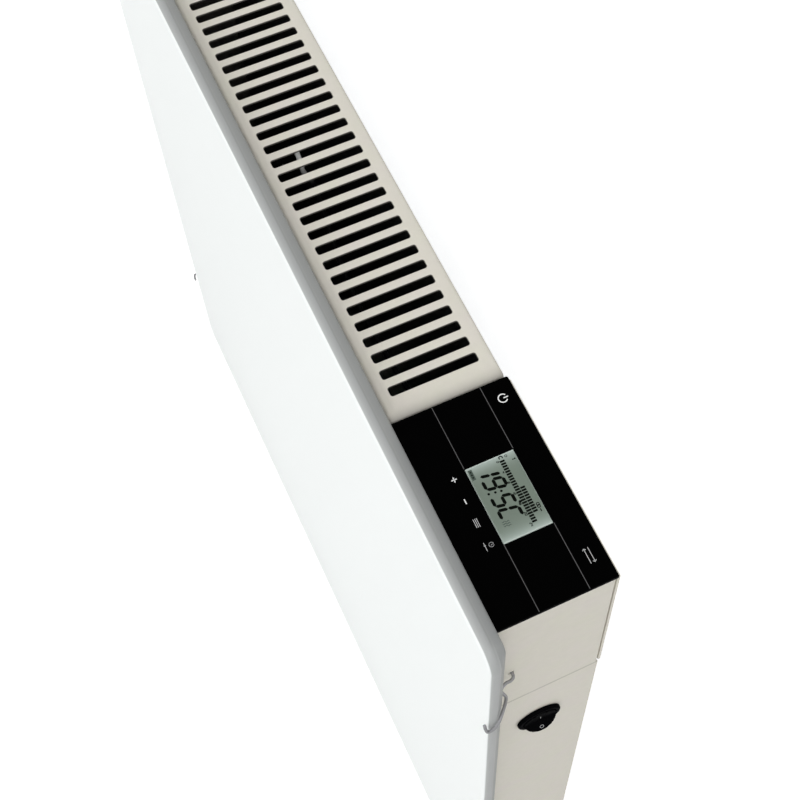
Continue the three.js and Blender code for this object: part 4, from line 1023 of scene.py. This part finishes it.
lines = [stroke([(x0, y), (x1, y)], LINE_WIDTH) for y in LINE_LEVELS for x0, x1 in LINE_SPANS]
slabs("glass_lines", lines, glass_high[2], "print_grey")
slabs("glass_signs", plain_signs(), glass_high[2], "print_white")
slabs("glass_pale_signs", pale_signs(), glass_high[2], "print_pale")
print("glass marks:", len(lines) + len(plain_signs()) + len(pale_signs()))

# %% [markdown]
# ## The display
#
# The display shows a temperature in slanted seven-bar figures, a row of 24 bars for the hours of the
# day, a shorter row above it, small hour numbers below, and a few plain signs. A figure's bar is a
# hexagon: a straight run with two pointed ends. All bars that are on share one dark ink; a sign that is
# only half on is fainter. A text object would need a font of this kind, and one hexagon, turned and
# repeated, gives every figure the same even gaps.

# %% Write the display's figures
SLANT = 0.183
HOUR_START, HOUR_STEP = 36.03, 1.313
BARS_OF = {"0": "abcdef", "1": "bc", "2": "abdeg", "4": "bcfg", "5": "acdfg", "6": "acdefg",
           "8": "abcdefg", "9": "abcdfg", "C": "adef"}
BAR_ENDS = {"a": ((-1, 1), (1, 1)), "b": ((1, 1), (1, 0)), "c": ((1, 0), (1, -1)), "d": ((-1, -1), (1, -1)),
            "e": ((-1, 0), (-1, -1)), "f": ((-1, 1), (-1, 0)), "g": ((-1, 0), (1, 0))}


def figure(sign, x, y, half_width, half_height, width, gap):
    """Hexagon outlines of one slanted figure whose middle is at x, y."""
    outlines = []
    for key in BARS_OF[sign]:
        ends = np.array(BAR_ENDS[key], dtype=float) * (half_width, half_height)
        along = ends[1] - ends[0]
        along /= np.linalg.norm(along)
        across = np.array([-along[1], along[0]]) * width / 2
        start, end, back = ends[0] + along * gap, ends[1] - along * gap, along * width / 2
        outline = np.array([start, start + back + across, end - back + across, end, end - back - across,
                            start + back - across])
        outline[:, 0] += SLANT * outline[:, 1]
        outlines.append(outline + (x, y))
    return outlines


def temperature():
    """The figures 1 9 : 5 C with the point between, at the places they have on the display."""
    places = (("1", 37.53), ("9", 43.92), ("5", 52.44), ("C", 58.78))
    outlines = sum((figure(sign, x, 27.42, 2.13, 4.33, 1.42, 0.08) for sign, x in places), [])
    return outlines + [disc(x, y, 0.55) for x, y in ((48.17, 28.44), (47.75, 25.89), (47.33, 23.03))]


def hour_bars():
    """24 bars in a row and ten above them, each a small upright slab."""
    rows = [(i, 34.83, 1.1) for i in range(24)] + [(i, 37.2, 1.05) for i in range(11, 21)]
    return [stroke([(HOUR_START + HOUR_STEP * i, y - half), (HOUR_START + HOUR_STEP * i, y + half)], 0.9)
            for i, y, half in rows]


def small_signs():
    """Hour numbers, a day number, a moon, a round, two linked rings and a small square sun."""
    outlines = []
    for hour in range(0, 25, 4):
        number = str(hour)
        for place, sign in enumerate(number):
            x = 35.6 + HOUR_STEP * hour + 0.95 * (place - (len(number) - 1) / 2)
            outlines += figure(sign, x, 32.95, 0.32, 0.46, 0.3, 0.0)
    sun = [[(55.9 - dx, 33.3 - dy), (55.9 + dx, 33.3 + dy)]
           for dx, dy in ((0.7, 0), (0, 0.7), (0.5, 0.5), (0.5, -0.5))]
    strokes = [([(36.75, 40.1), (37.2, 40.5), (37.05, 39.0)], BOLD),
               (arc(34.3, 34.9, 0.74, 50, 310, 14), BOLD), (arc(34.4, 37.3, 0.5, 90, 440, 16), 0.24),
               (arc(60.0, 39.5, 0.66, 90, 440, 18), 0.36),
               (arc(61.0, 39.5, 0.66, 90, 440, 18), 0.36), ([(62.2, 39.5), (63.6, 39.5)], 0.42),
               *((ray, THIN) for ray in sun)]
    return outlines + [stroke(points, width) for points, width in strokes]


def faint_signs():
    """A filled frame, which three dots lie on, and three upright waves, 0.28 sin(two turns) wide."""
    frame_sign = np.array([(34.0, 19.6), (39.0, 19.6), (39.0, 21.3), (34.0, 21.3)])
    height = np.linspace(-1.6, 1.6, 22)
    wave = 0.28 * np.sin(height / 1.6 * 2 * np.pi) + SLANT * height
    return [frame_sign, *(stroke(np.stack([x + wave, 23.9 + height], axis=-1), THIN)
                          for x in (61.4, 62.4, 63.4))]


print("display figures:", len(temperature()), "bars and dots")

# %% [markdown]
# The plate that carries them fills the window a quarter of a millimetre below the glass. It is a rounded
# block, made as a ring stack like the rest. A bevel would round its foot too, and only its upper edge is
# seen.

# %% Set the display in its window
display_low, display_high = corners("display")
PLATE_GAP = 0.3 * MM
PLATE_SECTION = ((0.0, 0.15), (0.05, 0.04), (0.15, 0.0), (1.0, 0.0))


def make_display():
    """A slim block with a softly rounded top edge, from the display's foot up to its face."""
    sides = window + INWARDS * PLATE_GAP
    looks["display_layer"] = display_finish(sides[::2], sides[1::2])
    section = [(0.0, display_low[2])]
    section += [(inset * MM, display_high[2] - drop * MM) for inset, drop in PLATE_SECTION]
    plan = [(rounded_rectangle(*(sides + INWARDS * inset), 0.2 * MM, 3), z) for inset, z in section]
    return make_piece("display_plate", capped(levels(plan)), "display_layer", "display")


plate = make_display()
ink = slabs("display_figures", temperature() + hour_bars() + small_signs(), display_high[2], "display_ink")
slabs("display_faint_signs", faint_signs(), display_high[2], "display_faint")
slabs("display_dots", [disc(x, 20.45, 0.34) for x in (35.2, 36.5, 37.8)], display_high[2] + PRINT_THICK,
      "display_ink")
print("display plate:", len(plate.data.polygons), "faces; ink:", len(ink.data.polygons))

# %% [markdown]
# ## The round rocker switch
#
# The bezel is turned: its profile is given by radius and height along X, and each profile point becomes
# one ring. The rocker is a ball of radius R on its pivot, cut by two planes that meet in a shallow
# valley. In polar form the distance along a direction d is the smallest of R, of valley / (dx - slope
# |dz|) for the two planes and of root / -dx for its back, and a soft minimum rounds where they meet. At
# rest the upper half is pressed in by half the travel, which is a turn about Y through the pivot. Two
# Boolean cuts through a sphere would give the same planes, but with sharp edges, where a moulded rocker
# has soft ones.

# %% Turn the bezel
bezel_low, bezel_high = corners("switch_body")
SWITCH_Y, SWITCH_Z = ((bezel_low + bezel_high) / 2)[1:]
BEZEL_RADIUS = (bezel_high[1] - bezel_low[1]) / 2
BEZEL_FACE = bezel_high[0]
BEZEL_EDGE, BEZEL_LIP = 1.1 * MM, 0.25 * MM
BARREL_RADIUS = 9.8 * MM
WELL_RADIUS = 9.15 * MM
WELL_DEPTH = 9.2 * MM


def turned_rings(profile, centre, axis, count=96):
    """Rings of a turned piece: profile rows are (radius, height along the axis)."""
    angles = np.linspace(0, 2 * np.pi, count, endpoint=False)
    radius, height = np.asarray(profile).T
    across = radius[:, None] * np.cos(angles)
    up = radius[:, None] * np.sin(angles)
    along = np.repeat(height[:, None], count, axis=1)
    order = {"x": (along, across, up), "y": (up, along, across), "z": (across, up, along)}
    return np.stack(order[axis], axis=-1) + np.asarray(centre)


def make_bezel():
    """Barrel, flange with a rounded outer edge, a fine inner edge, the well and its floor."""
    back, seat, floor = bezel_low[0], SIDE_X + SEAT_GAP, BEZEL_FACE - WELL_DEPTH
    profile = [(0, back), (BARREL_RADIUS, back), (BARREL_RADIUS, seat), (BEZEL_RADIUS, seat),
               *arc(BEZEL_RADIUS - BEZEL_EDGE, BEZEL_FACE - BEZEL_EDGE, BEZEL_EDGE, 0, 90, 7),
               *arc(WELL_RADIUS + BEZEL_LIP, BEZEL_FACE - BEZEL_LIP, BEZEL_LIP, 90, 180, 4),
               (WELL_RADIUS, floor), (0, floor)]
    return make_piece("switch_bezel", stack(turned_rings(profile, (0, SWITCH_Y, SWITCH_Z), "x")),
                      "black_plastic", "switch_body", crease=40)


bezel = make_bezel()
print("bezel radius in mm:", round(BEZEL_RADIUS / MM, 2))

# %% Shape the rocker
BALL = 8.7
VALLEY = 1.25
ROOT = 6.3
PIVOT_DEPTH = 0.9
HALF_TRAVEL = math.radians(12.0)
NEUTRAL = math.radians(20.0)
SLOPE = (BALL * math.sin(NEUTRAL) - VALLEY) / (BALL * math.cos(NEUTRAL))
PIN_START, PIN_RADIUS, PIN_END = 6.0, 1.2, 9.5
EDGE_SOFTNESS = 0.16
FAR = 99.0
VALLEY_SOFTNESS = 0.0025
LEAST_RISE = 0.02
PIVOT = np.array([BEZEL_FACE - PIVOT_DEPTH * MM, SWITCH_Y, SWITCH_Z])


def posed(points):
    """Millimetres about the pivot, turned to the rest pose and moved to the frame, in metres."""
    x, y, z = np.asarray(points).T
    sine, cosine = math.sin(HALF_TRAVEL), math.cos(HALF_TRAVEL)
    return np.stack([x * cosine - z * sine, y, x * sine + z * cosine], axis=-1) * MM + PIVOT


def rocker_rings(rings=90, count=128):
    """The polar surface described above, as rings about the rocker's own X."""
    polar = np.linspace(0, np.pi, rings)[:, None]
    round_x = np.linspace(0, 2 * np.pi, count, endpoint=False)[None, :]
    dx = np.cos(polar) + 0 * round_x
    dy = np.sin(polar) * np.sin(round_x)
    dz = np.sin(polar) * np.cos(round_x)
    rising = dx - SLOPE * np.sqrt(dz ** 2 + VALLEY_SOFTNESS)
    planes = np.where(rising > LEAST_RISE, VALLEY / np.maximum(rising, LEAST_RISE), FAR)
    behind = np.where(dx < -LEAST_RISE, ROOT / np.maximum(-dx, LEAST_RISE), FAR)
    bound = np.stack([np.full_like(dx, BALL), planes, behind])
    soft = -EDGE_SOFTNESS * np.log(np.exp(-bound / EDGE_SOFTNESS).sum(axis=0))
    return np.stack([dx, dy, dz], axis=-1) * soft[..., None]


def make_rocker():
    """The ball and its two pivot pins in one mesh, riding on the rocker body."""
    pin = turned_rings([(0, PIN_START), (PIN_RADIUS, PIN_START), (PIN_RADIUS, PIN_END - 0.2),
                        (PIN_RADIUS - 0.2, PIN_END), (0, PIN_END)], (0, 0, 0), "y", 24)
    vertices, faces = [], []
    for rings in (rocker_rings(), pin, pin * (1, -1, 1)):
        points, quads = stack(rings)
        faces.append(quads + sum(len(v) for v in vertices))
        vertices.append(points)
    return make_piece("rocker", (posed(np.concatenate(vertices)), np.concatenate(faces)), "rocker_black",
                      "switch_rocker", body="rocker", crease=60)


def rocker_marks():
    """A bar on the upper half and a ring on the lower, lying on the rocker's planes."""
    outlines = [stroke([(0, 1.9), (0, 3.9)], 0.3), stroke(arc(0, -5.4, 1.0, 90, 446, 40), 0.22)]
    vertices, faces = slab_surface(outlines, 0.0, 0.09)
    across, up, lift = vertices.T
    x = VALLEY + SLOPE * np.abs(up) - 0.05 + lift
    return make_piece("rocker_marks", (posed(np.stack([x, across, up], axis=-1)), faces), "print_pale",
                      body="rocker", weld=1e-9)


rocker = make_rocker()
marks = rocker_marks()
print("rocker:", len(rocker.data.polygons), "faces; marks:", len(marks.data.polygons))

# %% [markdown]
# ## Wires
#
# A wire follows a smooth curve through a few points: a Catmull-Rom curve whose parameter grows as the
# square root of the distance, so it does not loop at close points. A ring of points is carried along it,
# square to the direction of travel, with the frame turned as little as possible from ring to ring. A
# curve object with a bevel depth is quicker, but its ends are flat and it twists at tight bends.

# %% Bend the four clips
CLIP_RADIUS = 0.75
CLIP_LEVEL = 174.8
CLIP_EYE = 9.1
CLIP_GRIP = 1.5
CLIP_OFF = 1.05


def smooth_path(points, steps=14):
    """Points along the curve, steps to each span."""
    points = np.asarray(points, dtype=float)
    ends = np.concatenate([[2 * points[0] - points[1]], points, [2 * points[-1] - points[-2]]])
    share = np.linspace(0, 1, steps, endpoint=False)[:, None]
    square, cube = share ** 2, share ** 3
    spans = []
    for p0, p1, p2, p3 in zip(ends, ends[1:], ends[2:], ends[3:]):
        d0, d1, d2 = (math.sqrt(np.linalg.norm(b - a)) for a, b in ((p0, p1), (p1, p2), (p2, p3)))
        leave = ((p1 - p0) / d0 - (p2 - p0) / (d0 + d1) + (p2 - p1) / d1) * d1
        arrive = ((p2 - p1) / d1 - (p3 - p1) / (d1 + d2) + (p3 - p2) / d2) * d1
        spans.append(p1 * (2 * cube - 3 * square + 1) + leave * (cube - 2 * square + share)
                     + p2 * (3 * square - 2 * cube) + arrive * (cube - square))
    return np.concatenate([*spans, points[-1:]])


def wire_surface(path, radius, count=20):
    """Rings along a path in mm, with small rounded ends, as vertices in metres and quads."""
    along = np.gradient(path, axis=0)
    along /= np.linalg.norm(along, axis=1)[:, None]
    side = np.cross(along[0], (0.3, 0.2, 1.0))
    angles = np.linspace(0, 2 * np.pi, count, endpoint=False)
    circle = np.stack([np.cos(angles), np.sin(angles)], axis=-1)
    rings = []
    for place, way in zip(path, along):
        side = side - way * np.dot(side, way)
        side /= np.linalg.norm(side)
        rings.append(place + radius * (circle[:, :1] * side + circle[:, 1:] * np.cross(way, side)))

    def end(index, out, angle):
        inset = out * along[index] * radius * 0.3 * (math.sin(angle) - 1)
        return path[index] + (rings[index] - path[index]) * math.cos(angle) + inset

    taper = np.radians([90, 60, 30])
    start, stop = [end(0, -1, a) for a in taper], [end(-1, 1, a) for a in taper[::-1]]
    return stack(np.array([*start, *rings[1:-1], *stop]) * MM)


def clip_path(side, up):
    """From its eye in the casing's side, round behind the front's rim and over its edge, in mm."""
    edge, rim_y, face = front_high[0] / MM, front_high[1] / MM, front_low[1] / MM
    rim, side_x, eye_y = edge - FRONT_INSET / MM, SIDE_X / MM, FRONT_Y / MM + CLIP_EYE
    z = (front_low[2] + front_high[2]) / 2 / MM + up * CLIP_LEVEL
    path = [(side_x - 4, eye_y, z), (side_x + 2, eye_y, z + up * 0.3),
            (side_x + 3.2, eye_y - 1.8, z + up * 0.7), (side_x + 4, eye_y - 5, z + up * 2.5),
            (rim - 4, rim_y + CLIP_OFF + 0.45, z + up * 2),
            (rim - 1.2, rim_y + CLIP_OFF + 1.45, z + up * 0.5),
            (rim + 0.6, rim_y + CLIP_OFF + 0.45, z + up * 0.8), (edge - 2.8, rim_y - 1.5, z + up * 2.6),
            (edge + 0.6, rim_y - 5, z + up * 2.3), (edge + CLIP_OFF + 0.15, face + 2.4, z - up * 3.2),
            (edge + 0.5, face - 0.3, z - up * 6.9), (edge - 0.3, face - CLIP_OFF - 0.1, z - up * 3.7),
            (edge - CLIP_GRIP, face - CLIP_OFF - 0.05, z - up * 1.7)]
    return smooth_path(np.array(path) * (side, 1, 1))


for side, side_name in ((-1, "left"), (1, "right")):
    for up, level in ((1, "upper"), (-1, "lower")):
        clip = make_piece(f"clip_{level}_{side_name}", wire_surface(clip_path(side, up), CLIP_RADIUS),
                          "spring_wire", f"panel_clip_{level}_{side_name}", crease=60)
print("clips: 4 with", len(clip.data.polygons), "faces each")

# %% [markdown]
# The element's lead climbs from the thermal cut-out, makes a loop close under the outlet slots, where a
# short stretch shows, and goes back down and across into the module. Its points are the solid's own
# centre line, with the loop's top drawn a little to the left so that it meets the slots as it should.
# Straight runs would be simpler, but silicone hangs in soft bends.

# %% Lay the element's lead
LEAD_RADIUS = 1.25
LEAD_POINTS = [
    (94.45, -55.1, -196.4), (97.9, -51.4, -176.3), (94.0, -50.0, -156.4), (76.1, -50.7, -119.2),
    (55.4, -52.4, -83.5), (33.6, -54.4, -48.5), (11.2, -56.3, -13.6), (-13.7, -58.4, 18.9),
    (-26.7, -59.4, 34.9), (-35.8, -59.2, 53.0), (-35.9, -55.5, 71.0), (-34.2, -50.2, 79.0),
    (-30.8, -48.0, 80.6), (-26.9, -48.1, 79.9), (-23.8, -48.2, 77.9), (-21.2, -48.4, 75.4),
    (-16.8, -45.8, 70.0), (-18.0, -44.1, 60.7), (-12.3, -42.8, 41.4), (-0.3, -42.6, 24.6),
    (16.6, -42.2, 13.3), (36.9, -41.6, 10.1), (57.6, -40.9, 10.6), (77.9, -39.9, 13.6),
    (97.1, -38.4, 21.1), (116.6, -37.3, 27.3), (137.2, -37.35, 27.0)]

element_lead = make_piece("element_lead_wire", wire_surface(smooth_path(LEAD_POINTS, 8), LEAD_RADIUS),
                          "sleeved_lead", "element_lead", crease=60)
print("element lead:", len(element_lead.data.polygons), "faces")

# %% [markdown]
# ## Screws
#
# The head of a pan head screw as one height over the polar plane: a dome that falls with the fourth
# power of the radius, less a cross recess. The recess is as deep as the smaller distance from either of
# two crossed bars allows, so its walls lean as they do on a real one. A cross cut with a Boolean would
# have upright walls and would need a second object.

# %% Turn the four screws
HEAD_RADIUS, HEAD_HEIGHT, HEAD_RIM = 3.2, 1.9, 0.6
SHANK_RADIUS = 1.6
RECESS_REACH, RECESS_HALF, RECESS_DEPTH = 1.9, 0.38, 1.1
SIDE_LEAN, END_LEAN = 0.22, 0.5


def screw_rings(length, count=96):
    """Rings from the screw's tip up to the middle of its head, in mm above the head's seat."""
    shank = [(0, -length), (0.8, -length), (SHANK_RADIUS, -length + 1.2), (SHANK_RADIUS, 0.0),
             (HEAD_RADIUS, 0.0), (HEAD_RADIUS, 0.5)]
    angles = np.linspace(0, 2 * np.pi, count, endpoint=False)
    radius = np.linspace(HEAD_RADIUS - 0.05, 0, 34)[:, None]
    x, z = radius * np.cos(angles), radius * np.sin(angles)
    dome = HEAD_HEIGHT - (HEAD_HEIGHT - HEAD_RIM) * (radius / HEAD_RADIUS) ** 4
    wing = np.minimum(np.abs(x), np.abs(z))
    reach = RECESS_REACH - np.maximum(np.abs(x), np.abs(z))
    into = np.clip(np.minimum((RECESS_HALF - wing) / SIDE_LEAN, reach / END_LEAN), 0, 1)
    head = np.stack([x, z, dome - RECESS_DEPTH * into], axis=-1)
    return np.concatenate([turned_rings(shank, (0, 0, 0), "z", count), head])


for number in range(1, 5):
    low, high = corners(f"case_screw_{number}")
    vertices, quads = stack(screw_rings((high[1] - low[1]) / MM - HEAD_HEIGHT))
    seat = np.array([(low[0] + high[0]) / 2, high[1] - HEAD_HEIGHT * MM, (low[2] + high[2]) / 2])
    make_piece(f"screw_{number}", (seat + vertices[:, [0, 2, 1]] * MM, quads), "zinc_steel",
               f"case_screw_{number}", crease=40)
print("screws: 4, recess", RECESS_DEPTH, "mm deep")

# %% [markdown]
# ## Softened solids
#
# Everything else keeps its solid's shape. A copy of the solid's mesh is merged at its seams, its flat
# faces are joined into whole ones, and a bevel rounds each sharp edge by the amount that suits how it
# was made: folded sheet, moulding or extrusion. The leads are round, so their six-sided tubes are
# subdivided instead. They could be worked out anew like the pieces above, but they need no more than a
# soft edge, and so they keep every measure of the model.

# %% Soften the remaining pieces
MERGE_DISTANCE = 1e-5
FLAT_ANGLE = math.radians(0.6)
SHARP_ANGLE = math.radians(40)


def solid_copy(solid, suffix, look, rework, forgotten=()):
    """A smooth new object from a solid's mesh: welded, reworked, without the named mesh attributes."""
    shell = bmesh.new()
    shell.from_mesh(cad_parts[solid].data)
    bmesh.ops.remove_doubles(shell, verts=shell.verts, dist=MERGE_DISTANCE)
    rework(shell)
    mesh = bpy.data.meshes.new(solid + "_shape")
    shell.to_mesh(mesh)
    shell.free()
    for label in forgotten:
        if label in mesh.attributes:
            mesh.attributes.remove(mesh.attributes[label])
    smooth_faces(mesh)
    mesh.materials.clear()
    mesh.materials.append(looks[look])
    return show(solid + suffix, mesh)


def join_flat(shell):
    """Join flat neighbours into whole faces."""
    bmesh.ops.dissolve_limit(shell, angle_limit=FLAT_ANGLE, verts=shell.verts, edges=shell.edges)


def join_pairs(shell):
    """Pair triangles into quads."""
    bmesh.ops.join_triangles(shell, faces=shell.faces, angle_face_threshold=1.2, angle_shape_threshold=1.2)


def soften(solid, look, width, body="heater"):
    """The solid's copy with a bevel of width mm on edges sharper than SHARP_ANGLE."""
    piece = solid_copy(solid, "_soft", look, join_flat, ("custom_normal", "sharp_edge", "sharp_face"))
    bevel = piece.modifiers.new("edges", "BEVEL")
    bevel.width = width * MM
    bevel.segments = 3
    bevel.limit_method = "ANGLE"
    bevel.angle_limit = SHARP_ANGLE
    bevel.harden_normals = True
    dress(piece, body, solid)


def round_lead(solid):
    """The solid's copy with its triangles paired into quads and subdivided twice."""
    piece = solid_copy(solid, "_round", "lead_black", join_pairs)
    smooth = piece.modifiers.new("round", "SUBSURF")
    smooth.levels = smooth.render_levels = 2
    dress(piece, "heater", solid)


# Each row: the finish, the slot, the bevel's width in mm and the solids
SOFTENED = [
    # The side panels and the bottom grille carry painted shade on their inside.
    ("cream_sheet", "cream_enamel", 0.55, "left_side_panel right_side_panel"),
    ("cream_sheet", "cream_enamel", 0.35, "bottom_grille"),
    ("cream_plastic", "cream_plastic", 0.45, "control_housing"),
    ("cream_plastic", "cream_plastic", 0.15, "module_back_cover"),
    # The back panel's room side and the heat shield are near black: painted shade inside the duct.
    ("zinc_duct_shade", "zinc_steel", 0.3, "back_panel"),
    ("duct_painted_shade", "zinc_steel", 0.3, "heat_shield"),
    ("zinc_steel", "zinc_steel", 0.35, "element_bracket_left element_bracket_right"),
    ("zinc_steel", "zinc_steel", 0.4, "panel_stiffener_upper panel_stiffener_lower transformer"),
    ("zinc_steel", "zinc_steel", 0.5, "hanger_upper_left hanger_upper_right hanger_lower_left"),
    ("zinc_steel", "zinc_steel", 0.5, "hanger_lower_right wall_rail_upper wall_rail_lower"),
    ("ceramic", "ceramic", 0.5, "element_bush_left element_bush_right"),
    ("aluminium", "aluminium", 0.25, "heating_element"),
    ("brass", "brass", 0.15, "switch_blade_1 switch_blade_2"),
    ("brass", "brass", 0.3, "thermal_cutout"),
    ("circuit_board", "circuit_board", 0.15, "touch_board power_board radio_board"),
    ("blue_plastic", "blue_plastic", 0.6, "relay"),
    ("grey_plastic", "grey_plastic", 0.3, "module_floor"),
    ("grey_plastic", "grey_plastic", 0.4, "terminal_block room_sensor"),
    ("black_plastic", "black_plastic", 0.5, "cable_gland gland_nut"),
]
for look, slot, width, solids in SOFTENED:
    for solid in solids.split():
        soften(solid, look, width, "wall_rails" if solid.startswith("wall_rail") else "heater")
for solid in ("switch_lead_1", "switch_lead_2", "return_lead"):
    round_lead(solid)
round_lead("sensor_lead")
print("softened pieces:", sum(len(solids.split()) for *_, solids in SOFTENED))
